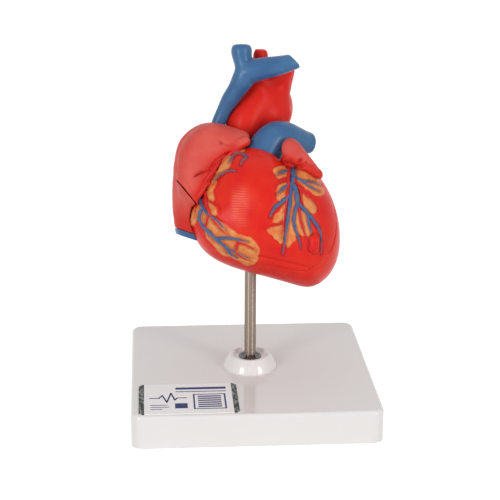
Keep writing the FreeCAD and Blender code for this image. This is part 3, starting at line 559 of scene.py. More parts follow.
# Fat on the front: closed outlines, as (right, up)
FRONT_FAT = [
    [(10.2, 13.2), (14.6, 15.2), (18.2, 13.9), (17.2, 10.4), (12.4, 8.9), (10.4, 10.8)],
    [(11.4, 4.4), (16.8, 7.6), (17.4, 3.8), (16.5, -1.2), (13.4, -2.9), (10.8, -0.8)],
    [(15.6, -2.8), (12.6, -6.9), (9.8, -9.2), (8.6, -13.0), (12.7, -13.8), (14.6, -10.0)],
    [(5.6, -16.3), (12.9, -14.4), (14.0, -17.6), (13.1, -23.6), (8.6, -20.2)],
    [(19.3, 4.8), (21.0, 4.0), (22.2, -6.6), (24.6, -5.2), (26.6, -9.6), (27.6, -15.0), (28.2, -18.8),
     (25.0, -20.2), (21.0, -19.2), (19.6, -22.1), (16.2, -25.6), (14.6, -23.3), (15.6, -14.8),
     (17.2, -5.4)],
    [(24.0, 2.8), (27.0, -0.2), (29.6, -2.6), (31.0, -5.1), (31.0, -8.0), (28.1, -9.2), (26.1, -7.9),
     (24.2, -4.3), (23.4, -0.8)],
    [(21.4, 14.4), (25.3, 14.0), (28.6, 12.0), (31.8, 9.6), (34.2, 6.7), (36.0, 1.0), (32.7, -0.4),
     (29.1, 0.8), (24.7, 4.1), (21.7, 6.7), (20.6, 10.2)],
    [(-10.0, 19.8), (-12.0, 14.0), (-15.2, 12.1), (-17.9, 9.4), (-20.1, 6.3), (-22.6, 5.6), (-20.6, 11.2),
     (-17.6, 15.4), (-13.6, 19.4)],
    [(-21.8, 8.8), (-18.2, 8.2), (-19.7, 2.7), (-19.6, -1.8), (-21.1, -2.6), (-22.6, -0.1), (-22.8, 4.2)],
    [(-22.5, -3.0), (-19.6, -4.7), (-18.0, -6.8), (-18.6, -9.4), (-20.6, -9.0), (-22.6, -6.3)],
    [(-26.2, -0.6), (-27.8, -3.4), (-29.9, -7.0), (-31.4, -12.1), (-30.3, -14.5), (-28.1, -12.2),
     (-27.1, -8.7), (-25.7, -4.9)],
    [(-24.9, -7.4), (-23.3, -8.5), (-23.0, -11.5), (-24.6, -13.9), (-26.2, -11.1)],
    [(-22.5, -10.2), (-19.7, -10.9), (-16.1, -12.8), (-13.4, -14.7), (-10.2, -17.1), (-6.9, -19.0),
     (-2.3, -20.4), (0.9, -23.6), (2.1, -27.4), (0.8, -32.6), (-2.1, -34.6), (-5.5, -33.6), (-8.4, -31.6),
     (-12.2, -30.1), (-16.0, -28.7), (-18.8, -26.2), (-21.6, -22.4), (-23.7, -19.3), (-24.7, -15.8),
     (-24.1, -12.5)],
    [(-12.6, 23.2), (-7.1, 24.0), (-2.6, 25.4), (-4.1, 22.6), (-8.5, 21.8), (-11.6, 21.6)],
]
# Grooves, edges and creases of the front, and where the fine level bands of the skin begin and end: raised
# ribs with a painted highlight on them
ANTERIOR_GROOVE = [(22.0, 17.0), (18.0, 8.0), (17.2, 0.0), (15.6, -9.0), (14.2, -19.0), (13.4, -27.0)]
RIGHT_GROOVE = [(-6.0, 25.4), (-10.5, 23.8), (-15.2, 20.2), (-20.0, 13.2), (-24.8, 4.8), (-28.2, -1.0),
                (-30.2, -7.0)]
FRONT_EDGE = [(-8.0, 21.6), (-12.1, 17.3), (-15.2, 12.2), (-18.0, 8.2), (-19.4, 4.2), (-19.4, -0.6),
              (-17.6, -4.6), (-16.4, -8.6), (-15.4, -12.5)]
BAND_ACROSS = (-13.0, -9.5, -6.0, -1.0)
BAND_UP = (-18.0, -10.0, 0.0, 8.0)
BAND_SCALE = 280.0
BAND_TILT = math.radians(4.0)
SEAM_CREASE = [(1.9, -29.9), (7.1, -31.1), (12.8, -32.4), (18.5, -33.9), (24.3, -35.3), (30.4, -36.2)]
APEX_BUMP = [(29.9, -21.8), (29.4, -26.2)]

# Coronary vessels on the front, as a course and its half width at the start and at the end
FRONT_VEINS = {
    "great": ([(22.1, 15.6), (20.5, 12.4), (19.9, 8.8), (19.1, 5.9), (18.0, 1.8), (17.0, -5.0),
               (15.6, -14.8), (14.2, -24.2), (13.6, -28.9)], 1.50, 0.72),
    "great_right": ([(18.9, 6.0), (20.6, 2.1), (21.2, -3.6), (23.2, -5.9), (27.0, -10.0), (30.6, -14.6),
                     (32.6, -18.4), (33.4, -24.0), (33.2, -29.2)], 1.35, 0.50),
    "great_inner": ([(21.3, -3.2), (20.0, -7.0), (18.9, -12.0), (19.8, -16.7), (22.0, -23.0),
                     (22.5, -26.5)], 1.00, 0.40),
    "great_spur": ([(26.3, -9.2), (26.4, -13.0), (27.9, -19.0)], 0.95, 0.42),
    "conus_1": ([(19.9, 12.2), (15.2, 12.0), (11.3, 10.6)], 0.92, 0.55),
    "conus_2": ([(19.2, 6.2), (14.9, 4.0), (11.0, 0.8)], 0.95, 0.55),
    "conus_3": ([(17.8, 0.2), (13.6, -2.9), (9.4, -6.1), (7.2, -10.4)], 1.05, 0.72),
    "side_1": ([(20.2, 10.2), (22.0, 8.2), (25.0, 7.1), (29.6, 6.5), (34.3, 4.8)], 0.88, 0.40),
    "side_2": ([(22.8, 7.8), (27.8, 4.4), (32.8, 1.9)], 0.68, 0.34),
    "small": ([(-25.9, -0.4), (-25.9, -2.4), (-25.2, -5.2), (-22.9, -8.3), (-18.4, -12.1),
               (-14.8, -16.0)], 1.10, 0.60),
    "small_low": ([(-25.1, -5.6), (-26.6, -9.6), (-26.0, -12.8), (-23.0, -17.0), (-18.6, -21.2),
                   (-13.8, -25.3), (-9.0, -27.9), (-3.2, -30.8)], 1.35, 0.60),
    "small_right": ([(-18.9, -20.9), (-13.0, -20.6), (-8.0, -21.4), (-3.4, -22.4)], 0.90, 0.40),
    "small_foot": ([(-14.0, -25.0), (-12.4, -28.0), (-8.3, -31.0)], 0.95, 0.50),
}
FRONT_SMALL_VEINS = {
    "curl": ([(-11.4, 16.8), (-10.2, 19.2), (-8.5, 21.4), (-6.4, 21.8), (-4.2, 20.8), (-3.2, 19.2),
              (-4.9, 18.0), (-5.9, 16.6), (-6.3, 15.4)], 0.55, 0.66),
    "groove": ([(-8.8, 12.5), (-11.2, 12.9), (-14.2, 12.0), (-17.9, 9.4), (-19.8, 6.8)], 0.45, 0.62),
}
FRONT_ARTERIES = {
    "descending": ([(18.6, 15.2), (17.7, 10.2), (16.8, 4.0), (15.4, -4.0), (14.2, -11.0),
                    (12.6, -21.2)], 1.10, 0.50),
    "diagonal": ([(20.0, 8.0), (22.1, 4.4), (23.0, 0.0), (22.6, -5.2)], 1.00, 0.50),
    "diagonal_2": ([(22.4, 3.4), (25.9, 0.0), (29.2, -2.7), (31.8, -7.4)], 0.88, 0.42),
    "septal": ([(21.8, -5.8), (22.4, -12.0), (24.6, -19.4), (27.4, -27.4)], 0.72, 0.38),
    "conus_a": ([(13.8, -12.4), (11.0, -13.9), (4.6, -16.0)], 0.72, 0.36),
    "conus_b": ([(17.3, 9.2), (14.6, 7.8), (10.2, 5.7)], 0.66, 0.33),
    "right_main": ([(-4.4, 24.0), (-10.6, 21.4), (-15.8, 17.8), (-20.0, 12.7), (-24.2, 6.8),
                    (-28.6, 0.4)], 1.25, 1.05),
    "marginal": ([(-19.6, 10.0), (-22.3, 5.8), (-23.6, 0.6), (-23.0, -4.4), (-20.6, -11.2), (-17.2, -15.8),
                  (-13.0, -19.4)], 1.15, 0.50),
    "marginal_2": ([(-22.6, -9.0), (-23.8, -13.8), (-24.6, -19.6)], 0.72, 0.38),
    "foot_1": ([(-8.6, -22.8), (-4.0, -24.4), (0.6, -27.0)], 0.56, 0.33),
    "foot_2": ([(-7.8, -22.4), (-9.0, -24.4), (-9.2, -27.0)], 0.85, 0.70),
    "foot_3": ([(-9.5, -27.4), (-6.6, -30.0), (-3.0, -32.2)], 0.58, 0.33),
    "front_edge": ([(-22.7, -1.9), (-19.5, -3.5), (-17.4, -5.9)], 0.66, 0.33),
}

front_skin = casting("front_shell", "front_wall_skin", FRONT_GRAIN, SKIN_PASSES, from_face)
rear_skin = casting("rear_shell", "rear_wall_skin", REAR_GRAIN, SKIN_PASSES, from_face)


def outer_share(points, normals):
    """1 on the outside of the ventricles' skin, 0 inside and on the parting face."""
    spokes = points - VENTRICLES_MIDDLE
    spokes /= np.linalg.norm(spokes, axis=1)[:, None]
    return ease((spokes * normals).sum(1), 0.15, 0.45)


def fat_depth(points, outlines):
    """How far inside the nearest patch of fat each point lies."""
    depth = np.full(len(points), NO_FAT)
    for outline in outlines:
        depth = np.maximum(depth, depth_inside(points[:, :2], rounded_course(outline, closed=True)))
    return depth


def beside_cords(points, courses):
    """How far each point lies from the edge of the nearest cord, in mm, up to 3."""
    gap = np.full(len(points), 3.0)
    for course, thick, thin in courses:
        line = rounded_course(course, steps=4)
        near = ((points[:, :2] > line.min(0) - 4) & (points[:, :2] < line.max(0) + 4)).all(1)
        off, along = course_gap(points[near, :2], line)[:2]
        gap[near] = np.minimum(gap[near], off - thick - (thin - thick) * along)
    return gap


def hollows(piece, points, passes):
    """How deep each point lies below its surroundings, in mm."""
    return ((near_mean(piece, points, passes) - points) * heart_normals(piece)).sum(1)


points = heart_points(front_skin)
normals = heart_normals(front_skin)
faces_out = outer_share(points, normals) * ease(normals[:, 2], -0.1, 0.3)

gap, along, _ = beside(points, ANTERIOR_GROOVE)
rise = -1.0 * bell(gap, 4.2) * fades(along, 0.75, 1.0)
gap = beside(points, RIGHT_GROOVE)[0]
rise -= 1.1 * bell(gap, 3.2)
gap, along, side = beside(points, FRONT_EDGE)
rise += 0.9 * ease(-side * gap, -0.6, 1.6) * bell(gap, 7.0) * fades(along, 0.8, 1.0)
gap, _, side = beside(points, SEAM_CREASE)
rise += 0.35 * ease(side * -gap, -0.4, 0.8) * bell(gap, 5.0) - 0.35 * bell(gap, 0.8)
gap = beside(points, APEX_BUMP)[0]
rise += 1.9 * fades(gap, 0.2, 3.0) - 0.2 * bell(gap - 3.1, 0.5)
# Painted shade: a dark ring round the foot of the bump.
bump_foot_shade = 0.2 * bell(gap - 2.9, 0.6)
rise += 0.22 * lumps(points, 13.0, 1) + 0.07 * lumps(points, 4.5, 2)
fat = fat_depth(points, FRONT_FAT) + 0.55 * lumps(points, 2.8, 3)
rise += 0.42 * ease(fat, -0.35, 0.7) + 0.16 * ease(fat, 0.0, 1.0) * lumps(points, 2.2, 4)
vein_edge = beside_cords(points, [*FRONT_VEINS.values(), *FRONT_SMALL_VEINS.values()])
artery_edge = beside_cords(points, FRONT_ARTERIES.values())
# Painted shade: dark lines along the edges of the cords, and of the arteries where they cross the fat.
edge_shade = np.maximum(fades(np.abs(vein_edge - 0.15), 0.15, 0.75),
                    ease(fat, -0.6, 0.2) * 0.7 * fades(np.abs(artery_edge - 0.15), 0.15, 0.75))
rise -= 0.30 * bell(np.minimum(vein_edge, artery_edge) - 0.2, 0.5)
left, full_left, full_right, right = BAND_ACROSS
bands = ease(points[:, 0], left, full_left) * fades(points[:, 0], full_right, right)
low, full_low, full_high, high = BAND_UP
bands *= ease(points[:, 1], low, full_low) * fades(points[:, 1], full_high, high)
bands *= ease(lumps(points, 6.0, 31), -0.7, 0.3)
points = points + normals * (faces_out * rise)[:, None]
put_back(front_skin, points)
mark(front_skin, "edge_shade", faces_out * np.maximum(edge_shade, bump_foot_shade))
mark(front_skin, "bands", faces_out * bands)
mark(front_skin, "fat", np.where(faces_out > 0.3, fat, NO_FAT))
mark(front_skin, "hollow", hollows(front_skin, points, NEAR_PASSES))


# Fat on the back: along the coronary sinus and down the rear groove, as (right, up)
REAR_FAT = [
    [(-21.0, -7.0), (-14.0, -10.5), (-4.0, -11.8), (8.0, -11.4), (20.0, -9.0), (30.0, -4.0), (33.0, -7.5),
     (24.0, -13.5), (10.0, -16.2), (6.0, -24.0), (3.0, -30.0), (-1.0, -31.0), (-2.0, -24.0), (-3.0, -17.0),
     (-14.0, -15.0), (-22.0, -11.5)],
]
REAR_GROOVE = [(0.5, -10.0), (1.5, -18.0), (2.4, -26.0), (5.0, -33.0), (10.0, -38.0)]

points = heart_points(rear_skin)
normals = heart_normals(rear_skin)
outer = outer_share(points, normals)
faces_back = outer * ease(-normals[:, 2], 0.1, 0.4)
gap, along, _ = beside(points, REAR_GROOVE)
rise = -0.9 * bell(gap, 4.0) * fades(along, 0.7, 1.0)
rise += 0.22 * lumps(points, 13.0, 5) + 0.07 * lumps(points, 4.5, 6)
fat = fat_depth(points, REAR_FAT) + 0.8 * lumps(points, 5.0, 7) + 0.3 * lumps(points, 2.4, 8)
front_fat = fat_depth(points, FRONT_FAT) + 0.55 * lumps(points, 2.8, 3)
on_front = outer * ease(normals[:, 2], -0.1, 0.3)
fat = np.where(faces_back > 0.3, fat, np.where(on_front > 0.3, front_fat, NO_FAT))
rise = rise * faces_back + 0.42 * ease(fat, -0.35, 0.7) + 0.15 * ease(fat, 0.0, 1.0) * lumps(points, 2.2, 9)
points = points + normals * (outer * rise)[:, None]
put_back(rear_skin, points)
mark(rear_skin, "fat", fat)
mark(rear_skin, "hollow", hollows(rear_skin, points, NEAR_PASSES))


def reading(tree, name):
    """A value kept on the piece's points."""
    node = tree.nodes.new("ShaderNodeAttribute")
    node.attribute_name = name
    return node.outputs["Fac"]


def mottled(tree, size_mm, first, second):
    """Two close tints in soft patches."""
    return tinted(tree, spread(tree, grain_of(tree, size_mm), 0.35, 0.65, 0.0, 1.0), first, second)


def vinyl(name, pale, full, hollow_shade, rough=0.30, shine=0.18):
    """Painted vinyl: two close tints, a darker painted shade in the hollows, and a fine skin."""
    material, tree, shader = finish_of(name, rough, shine=shine)
    body = mottled(tree, 14, pale, full)
    # Painted shade: the colour darkens towards the hollow tint where the skin lies below its surroundings.
    body = tinted(tree, spread(tree, reading(tree, "hollow"), 0.02, 0.30, 0.0, 1.0), body, hollow_shade)
    tree.links.new(body, shader.inputs["Base Color"])
    tree.links.new(spread(tree, grain_of(tree, 5), 0.3, 0.7, rough - 0.05, rough + 0.07),
                   shader.inputs["Roughness"])
    return material, tree, shader, body


# The third colour, deep crimson, is the painted shade of the hollows.
muscle_finish, tree, shader, body = vinyl("muscle_red", linear(232, 48, 28), linear(224, 28, 24),
                                          linear(158, 10, 14))
fat_line = spread(tree, grain_of(tree, 0.9), 0.2, 0.8, -0.18, 0.18)
fat_share = spread(tree, maths(tree, "ADD", reading(tree, "fat"), fat_line), -0.35, 0.35, 0.0, 1.0)
# The fat's own colour, with painted shade darkening it in the hollows.
fat_tint_and_shade = tinted(tree, spread(tree, reading(tree, "hollow"), 0.03, 0.35, 0.0, 1.0),
                  mottled(tree, 3.2, linear(226, 120, 64), linear(230, 156, 92)), linear(196, 78, 46))
ridges = tree.nodes.new("ShaderNodeTexWave")
ridges.bands_direction = "Z"
ridges.inputs["Scale"].default_value = BAND_SCALE
ridges.inputs["Distortion"].default_value = 1.2
ridges.inputs["Detail"].default_value = 1.0
ridge_place = tree.nodes.new("ShaderNodeTexCoord")
ridge_turn = tree.nodes.new("ShaderNodeMapping")
ridge_turn.inputs["Rotation"].default_value = (0.0, BAND_TILT, 0.0)
tree.links.new(ridge_place.outputs["Object"], ridge_turn.inputs["Vector"])
tree.links.new(ridge_turn.outputs["Vector"], ridges.inputs["Vector"])
# Fine raised ribs on the skin, with a painted highlight: the pale tint along them stands in for the light
# they catch.
ribs_and_sheen = maths(tree, "MULTIPLY", ridges.outputs["Fac"], reading(tree, "bands"))
body = tinted(tree, ribs_and_sheen, body, linear(242, 98, 74))
body = tinted(tree, fat_share, body, fat_tint_and_shade)
# Painted shade along the cords' edges and round the bump's foot, in dark red.
body = tinted(tree, spread(tree, reading(tree, "edge_shade"), 0.0, 1.0, 0.0, 0.45), body, linear(150, 22, 22))
tree.links.new(body, shader.inputs["Base Color"])
raised(tree, shader, [(grain_of(tree, 1.6), 0.10, 0.20), (ribs_and_sheen, 0.12, 0.6)])
for piece, body_name in ((front_skin, "front_wall"), (rear_skin, "heart")):
    piece.data.materials.append(muscle_finish)
    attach(piece, body_name)


# ------------------------------------------------------------------ atria and auricles
# Thinner-walled castings in a paler, pinkish red, wrinkled towards the groove they grow from.
# The right atrium is split by the parting plane, so its front with the flap lifts with the wall.

RIGHT_CREASE = [(-30.8, 9.4), (-27.6, 11.2), (-24.6, 12.5), (-21.6, 14.0), (-19.0, 15.8), (-16.6, 18.4)]
RIM_CREASE = [(-28.6, 0.3), (-25.0, 6.1), (-21.4, 12.6), (-19.5, 16.2), (-15.5, 19.6), (-9.0, 23.4)]
LOBE_FILLS = [(-2.8, 27.6, 7.0, 2.6), (-4.5, 26.9, 7.5, 2.6), (-6.2, 26.2, 8.0, 2.6),
              (-7.9, 25.1, 8.4, 2.6), (-9.6, 24.0, 8.8, 2.6)]
FLAP_EDGE = [(-0.6, 28.6), (-3.4, 27.0), (-8.0, 26.0), (-12.4, 26.1), (-17.7, 28.6)]
WRINKLE_CENTRE = np.array((-16.0, 14.0))
ATRIUM_GRAIN = 0.38 * MM
LEFT_ATRIUM_GRAIN = 0.56 * MM
LEFT_AURICLE_GRAIN = 0.40 * MM


def fan_wrinkles(points, centre, count, seed):
    """Shallow creases that fan out from a centre, broken up along their length."""
    off = points[:, :2] - centre
    turn = np.arctan2(off[:, 1], off[:, 0])
    far = np.hypot(off[:, 0], off[:, 1])
    shift = seed * 11.0
    fan = np.array([noise.noise(Vector((math.cos(a) * count + shift, math.sin(a) * count, r * 0.10)))
                    for a, r in zip(turn, far)])
    return -np.abs(fan)


right_auricle = casting("right_auricle", "right_auricle_skin", ATRIUM_GRAIN, 12, from_seam, LOBE_FILLS)
points = heart_points(right_auricle)
normals = heart_normals(right_auricle)
outside = ease(normals[:, 2], -0.2, 0.2)
soft = near_mean(right_auricle, points, SOFT_PASSES)
smooth_share = np.maximum(ease(points[:, 2], 3.0, 7.0) * ease(-points[:, 0], 6.0, 14.0),
                          ease(-points[:, 0], 14.0, 24.0)) * from_seam(points)
points = points + (soft - points) * smooth_share[:, None]
gap, along, side = beside(points, RIGHT_CREASE)
crease_share = ease(along, 0.0, 0.2) * fades(along, 0.75, 1.0)
crease_width = np.where(side > 0, 1.0 + 1.8 * along, 0.7)
rise = -2.0 * bell(gap, crease_width) * crease_share
rise += 0.9 * bell(gap - 2.6, 2.0) * (side < 0) * crease_share
rim_gap, along, rim_side = beside(points, RIM_CREASE)
rim_share = ease(along, 0.0, 0.15) * fades(along, 0.75, 1.0)
rise -= 0.7 * bell(rim_gap, 0.7) * rim_share
rise += 0.4 * bell(rim_gap - 1.6, 0.8) * (rim_side < 0) * rim_share
gap, along, _ = beside(points, FLAP_EDGE)
rise -= 0.6 * bell(gap, 1.2) * ease(along, 0.25, 0.5) * fades(along, 0.85, 1.0)
groove_gap = beside(points, RIGHT_GROOVE)[0]
off_lobe = 1 - ease(points[:, 0], -18.0, -10.0) * ease(points[:, 1], 18.0, 24.0)
rise += (0.25 + 0.55 * np.exp(-groove_gap / 8.0)) * off_lobe * fan_wrinkles(points, WRINKLE_CENTRE, 5.0, 1)
rise += 0.15 * lumps(points, 7.0, 11)
points = points + normals * (outside * rise)[:, None]
put_back(right_auricle, points)
mark(right_auricle, "hollow", hollows(right_auricle, points, WIDE_PASSES))
mark(right_auricle, "blush", np.where(rim_side < 0, 1.0, fades(rim_gap, 0.0, 6.0)))

right_atrium = casting("right_atrium", "right_atrium_skin", ATRIUM_GRAIN, 10, from_seam)
left_atrium = casting("left_atrium", "left_atrium_skin", LEFT_ATRIUM_GRAIN, 8)
for piece, centre, seed in ((right_atrium, (-18.0, -6.0), 2), (left_atrium, (9.0, -14.0), 3)):
    points = heart_points(piece)
    share = from_seam(points) * ease(points[:, 2], -4.0, 1.0) * ease(points[:, 1], -18.0, -12.0)
    points += (near_mean(piece, points, SOFT_PASSES) - points) * share[:, None]
    put_back(piece, points)
    normals = heart_normals(piece)
    rise = 0.35 * fan_wrinkles(points, np.array(centre), 4.0, seed) + 0.15 * lumps(points, 7.0, 12 + seed)
    points = points + normals * rise[:, None]
    put_back(piece, points)
    mark(piece, "hollow", hollows(piece, points, WIDE_PASSES))
    mark(piece, "blush", fades(points[:, 1], -13.0, -2.0))

LEFT_CREASE = [(22.6, 13.8), (23.4, 16.0), (24.4, 18.0), (26.4, 19.6)]
LEFT_FOLD = [(26.4, 16.8), (30.4, 15.1), (34.6, 12.6)]
LEFT_ROOT_FILLS = [(17.3, 15.6, 9.5, 1.8), (16.2, 17.6, 7.5, 1.9), (16.8, 19.5, 8.0, 2.0),
                   (17.6, 17.4, 9.5, 2.2), (19.6, 16.0, 10.8, 2.2), (21.5, 15.4, 11.5, 2.0)]
LEFT_WRINKLE_CENTRE = np.array((24.0, 10.0))
LEFT_PASSES = 24
left_auricle = casting("left_auricle", "left_auricle_skin", LEFT_AURICLE_GRAIN, 6, fills=LEFT_ROOT_FILLS)
points = heart_points(left_auricle)
normals = heart_normals(left_auricle)
outside = ease(normals[:, 2], -0.2, 0.3)
rise = 0.5 * fan_wrinkles(points, LEFT_WRINKLE_CENTRE, 6.0, 4)
gap, along, _ = beside(points, LEFT_CREASE)
rise -= 2.2 * outside * bell(gap, 1.3) * fades(along, 0.6, 1.0)
gap, along, _ = beside(points, LEFT_FOLD)
rise -= 0.7 * outside * bell(gap, 0.8) * fades(along, 0.7, 1.0)
points = points + normals * rise[:, None]
put_back(left_auricle, points)
mark(left_auricle, "hollow", hollows(left_auricle, points, LEFT_PASSES))
mark(left_auricle, "blush", fades(points[:, 1] + 0.43 * points[:, 0], 26.0, 29.5))

# The third colour is the painted shade of the hollows, in folds and wrinkles.
atrium_finish, tree, shader, body = vinyl("atrium_pink", linear(228, 98, 87), linear(219, 82, 74),
                                          linear(174, 36, 34), 0.42, 0.10)
body = tinted(tree, spread(tree, reading(tree, "blush"), 0.0, 1.0, 0.0, 0.85), body, linear(219, 46, 38))
tree.links.new(body, shader.inputs["Base Color"])
raised(tree, shader, [(grain_of(tree, 1.8), 0.14, 0.25)])
for piece, body_name in ((right_auricle, "front_wall"), (right_atrium, "heart"), (left_atrium, "heart"),
                         (left_auricle, "front_wall")):
    piece.data.materials.append(atrium_finish)
    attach(piece, body_name)


# ------------------------------------------------------------------ arteries and veins
# The great vessels are smooth castings with rounded, closed ends: the aorta with its branches and
# the lung veins in red, and the caval veins and the pulmonary trunk in blue.

AORTA_FILLS = [
    (9.0, 40.0, -20.0, 8.0), (12.0, 42.5, -18.5, 8.0), (15.5, 42.5, -22.0, 8.3), (5.5, 55.5, -13.5, 6.0),
    (16.5, 56.5, -19.0, 6.3), (18.6, 60.5, -20.5, 5.0), (20.5, 64.0, -21.5, 4.2), (-6.6, 38.5, -14.5, 5.6),
]
VESSEL_PASSES = 14
ARCH_PASSES = 70
ARCH_FULLNESS = 0.30

# Each vessel's name, its grain in mm, how often it is softened, and its colour
VESSELS = {
    "aorta": ("aorta_casting", 0.60, 14, "artery_red"),
    "arch_branches": ("arch_branch_stubs", 0.50, 8, "artery_red"),
    "pulmonary_veins": ("pulmonary_vein_stubs", 0.50, 6, "artery_red"),
    "pulmonary_trunk": ("pulmonary_trunk_casting", 0.56, 10, "vein_blue"),
    "superior_vena_cava": ("superior_vena_cava_casting", 0.56, 10, "vein_blue"),
    "inferior_vena_cava": ("inferior_vena_cava_stub", 0.36, 1, "vein_blue"),
}
# In both paints the third colour is the painted shade of the hollows.
artery_finish, tree, shader, body = vinyl("artery_red", linear(233, 46, 36), linear(226, 34, 28),
                                          linear(150, 10, 16), 0.36, 0.12)
raised(tree, shader, [(grain_of(tree, 6.0, 1.0), 0.25, 0.20)])
vein_finish, tree, shader, body = vinyl("vein_blue", linear(68, 114, 158), linear(56, 100, 148),
                                        linear(26, 42, 72), 0.30, 0.28)
raised(tree, shader, [(grain_of(tree, 6.0, 1.0), 0.20, 0.20)])
for seed, (node, (name, grain, passes, slot)) in enumerate(VESSELS.items(), 20):
    piece = casting(node, name, grain * MM, passes, fills=AORTA_FILLS if node == "aorta" else ())
    points = heart_points(piece)
    normals = heart_normals(piece)
    rise = 0.18 * lumps(points, 11.0, seed)
    if node == "aorta":
        arch_share = ease(points[:, 1], 28.0, 36.0) * fades(points[:, 1], 60.0, 66.0)
        points += (near_mean(piece, points, ARCH_PASSES) - points) * arch_share[:, None]
        rise += ARCH_FULLNESS * arch_share
    points = points + normals * rise[:, None]
    put_back(piece, points)
    mark(piece, "hollow", hollows(piece, points, VESSEL_PASSES))
    piece.data.materials.append(artery_finish if slot == "artery_red" else vein_finish)
    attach(piece, "heart")


# ------------------------------------------------------------------ coronary vessels
# Raised cords on the castings: the veins blue and the arteries red, tapering to nothing.
# Each course is a few points as (right, up), laid on the skin from the front or from behind.

REAR_VEINS = {
    "coronary_sinus": ([(31.0, -6.5), (22.0, -10.6), (10.0, -12.6), (-2.0, -13.2), (-12.0, -12.6),
                        (-19.0, -9.6)], 1.6, 1.9),
    "middle": ([(-1.0, -13.0), (1.0, -19.0), (2.4, -26.0), (6.0, -34.0), (12.0, -39.0)], 1.0, 0.35),
    "middle_left": ([(2.0, -23.5), (7.0, -28.0), (13.0, -31.5)], 0.6, 0.28),
    "rear_left": ([(14.0, -12.4), (18.0, -19.0), (24.0, -26.0), (30.0, -31.0)], 0.75, 0.30),
    "rear_right": ([(-8.0, -12.8), (-12.0, -18.0), (-14.0, -24.0)], 0.6, 0.28),
}
REAR_ARTERIES = {
    "descending": ([(-3.0, -13.4), (-0.8, -20.0), (0.4, -27.0), (4.0, -34.5)], 0.8, 0.35),
    "rear_left": ([(26.0, -8.0), (24.0, -15.0), (27.0, -22.0)], 0.7, 0.30),
    "rear_right": ([(-18.0, -10.6), (-8.0, -14.6), (-3.0, -13.4)], 0.9, 0.7),
}
FULL_SWELL = 0.06
TAPER = 0.35
CORD_SINK = 0.30
RAY_START = 60.0


def skin_tree(pieces):
    """What a cord is laid on."""
    trees = []
    for piece in pieces:
        verts = [v.co.copy() for v in piece.data.vertices]
        faces = [tuple(p.vertices) for p in piece.data.polygons]
        trees.append(BVHTree.FromPolygons(verts, faces))
    return trees


def laid_points(course, trees, outward):
    """Points on the skin along a course, seen from the front or from behind."""
    line = rounded_course(course, steps=8)
    start_out = RAY_START * outward
    heights = []
    for right, up in line:
        start = HEART_MIDDLE + (RIGHT * right + UP * up + OUT * start_out) * MM
        hits = [tree.ray_cast(start, -OUT * outward)[3] for tree in trees]
        near = min((hit for hit in hits if hit is not None), default=None)
        heights.append(None if near is None else start_out - outward * near / MM)
    known = [i for i, height in enumerate(heights) if height is not None]
    heights = np.interp(range(len(line)), known, [heights[i] for i in known])
    padded = np.pad(heights, 2, mode="edge")
    heights = np.convolve(padded, (0.1, 0.2, 0.4, 0.2, 0.1), mode="valid")
    return [HEART_MIDDLE + (RIGHT * x + UP * y + OUT * z) * MM for (x, y), z in zip(line, heights)]


def cords(name, courses, trees, outward, material, body_name):
    """Tapering half-round cords laid along courses, as one piece."""
    curve = bpy.data.curves.new(name, "CURVE")
    curve.dimensions = "3D"
    curve.bevel_depth = 1.0 * MM
    curve.bevel_resolution = 4
    curve.use_fill_caps = True
    for course, thick, thin in courses.values():
        spots = laid_points(course, trees, outward)
        spline = curve.splines.new("POLY")
        spline.points.add(len(spots) - 1)
        for i, (point, spot) in enumerate(zip(spline.points, spots)):
            share = i / (len(spots) - 1)
            radius = thick + (thin - thick) * share + 0.1 * thick * math.sin(i * 0.9 + 7 * thick)
            radius *= min(1.0, math.sqrt((share + 0.01) / FULL_SWELL), 0.25 + 0.75 * (1.0 - share) / TAPER)
            lift = -OUT * outward * radius * CORD_SINK * MM
            point.co = (*(spot + lift), 1.0)
            point.radius = radius
        spline.use_smooth = True
    piece = bpy.data.objects.new(name, curve)
    bpy.context.scene.collection.objects.link(piece)
    only(piece)
    bpy.ops.object.convert(target="MESH")
    piece = bpy.context.object
    piece.data.materials.clear()
    piece.data.materials.append(material)
    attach(piece, body_name)


def cord_paint(name, size_mm, first, second):
    """A smooth paint in two close tints."""
    material, tree, shader = finish_of(name, 0.38, shine=0.3)
    tree.links.new(mottled(tree, size_mm, first, second), shader.inputs["Base Color"])
    raised(tree, shader, [(grain_of(tree, 1.2), 0.08, 0.25)])
    return material


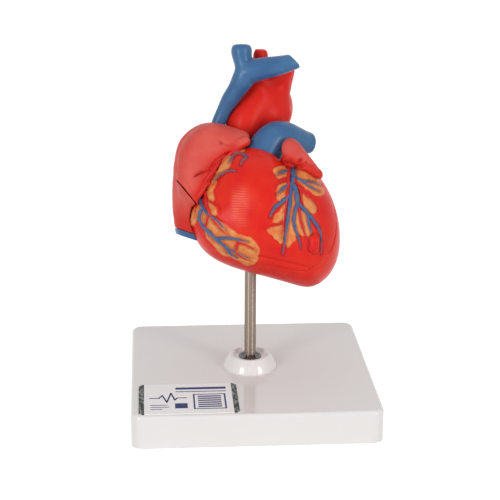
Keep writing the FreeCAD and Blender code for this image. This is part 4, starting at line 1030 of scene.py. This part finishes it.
front_trees = skin_tree([front_skin, right_auricle])
rear_trees = skin_tree([rear_skin])
cord_blue = cord_paint("cord_blue", 4, linear(56, 92, 144), linear(80, 104, 136))
cord_grey = cord_paint("cord_grey", 3, linear(84, 96, 124), linear(104, 96, 108))
cord_red = cord_paint("cord_red", 4, linear(224, 34, 30), linear(206, 22, 26))
cords("front_coronary_veins", FRONT_VEINS, front_trees, 1, cord_blue, "front_wall")
cords("front_small_veins", FRONT_SMALL_VEINS, front_trees, 1, cord_grey, "front_wall")
cords("front_coronary_arteries", FRONT_ARTERIES, front_trees, 1, cord_red, "front_wall")
cords("rear_coronary_veins", REAR_VEINS, rear_trees, -1, cord_blue, "heart")
cords("rear_coronary_arteries", REAR_ARTERIES, rear_trees, -1, cord_red, "heart")


# ------------------------------------------------------------------ inside
# Seen when the front wall is off: the chambers' linings, the valves with their cords, and the
# sleeve that drops over the rod.

lining_finish, tree, shader = finish_of("chamber_lining", 0.42, coat=0.15)
tree.links.new(mottled(tree, 7, linear(226, 120, 104), linear(206, 84, 76)), shader.inputs["Base Color"])
raised(tree, shader, [(grain_of(tree, 2.4), 0.35, 0.4), (grain_of(tree, 0.6), 0.03, 0.25)])
for node in ("rear_liner", "front_liner"):
    dress(node, lining_finish)
valve_finish, tree, shader = finish_of("valve_cream", 0.40, coat=0.15)
tree.links.new(tinted(tree, grain_of(tree, 2.5), linear(238, 222, 184), linear(226, 200, 158)),
               shader.inputs["Base Color"])
raised(tree, shader, [(grain_of(tree, 1.0), 0.10, 0.3)])
for node in ("tricuspid_valve", "mitral_valve", "pulmonary_valve", "aortic_valve"):
    dress(node, valve_finish)
muscle_tip_finish, tree, shader = finish_of("papillary_red", 0.38, coat=0.2)
tree.links.new(tinted(tree, grain_of(tree, 2.5), linear(196, 60, 50), linear(178, 38, 36)),
               shader.inputs["Base Color"])
raised(tree, shader, [(grain_of(tree, 0.8, 3.0, (1, 1, 0.3)), 0.10, 0.4)])
for node in ("right_papillary_muscles", "left_papillary_muscles"):
    dress(node, muscle_tip_finish)
sleeve_finish, tree, shader = finish_of("sleeve_plastic", 0.5)
tree.links.new(tinted(tree, grain_of(tree, 3), linear(150, 26, 24), linear(128, 18, 20)),
               shader.inputs["Base Color"])
dress("rod_socket", sleeve_finish)
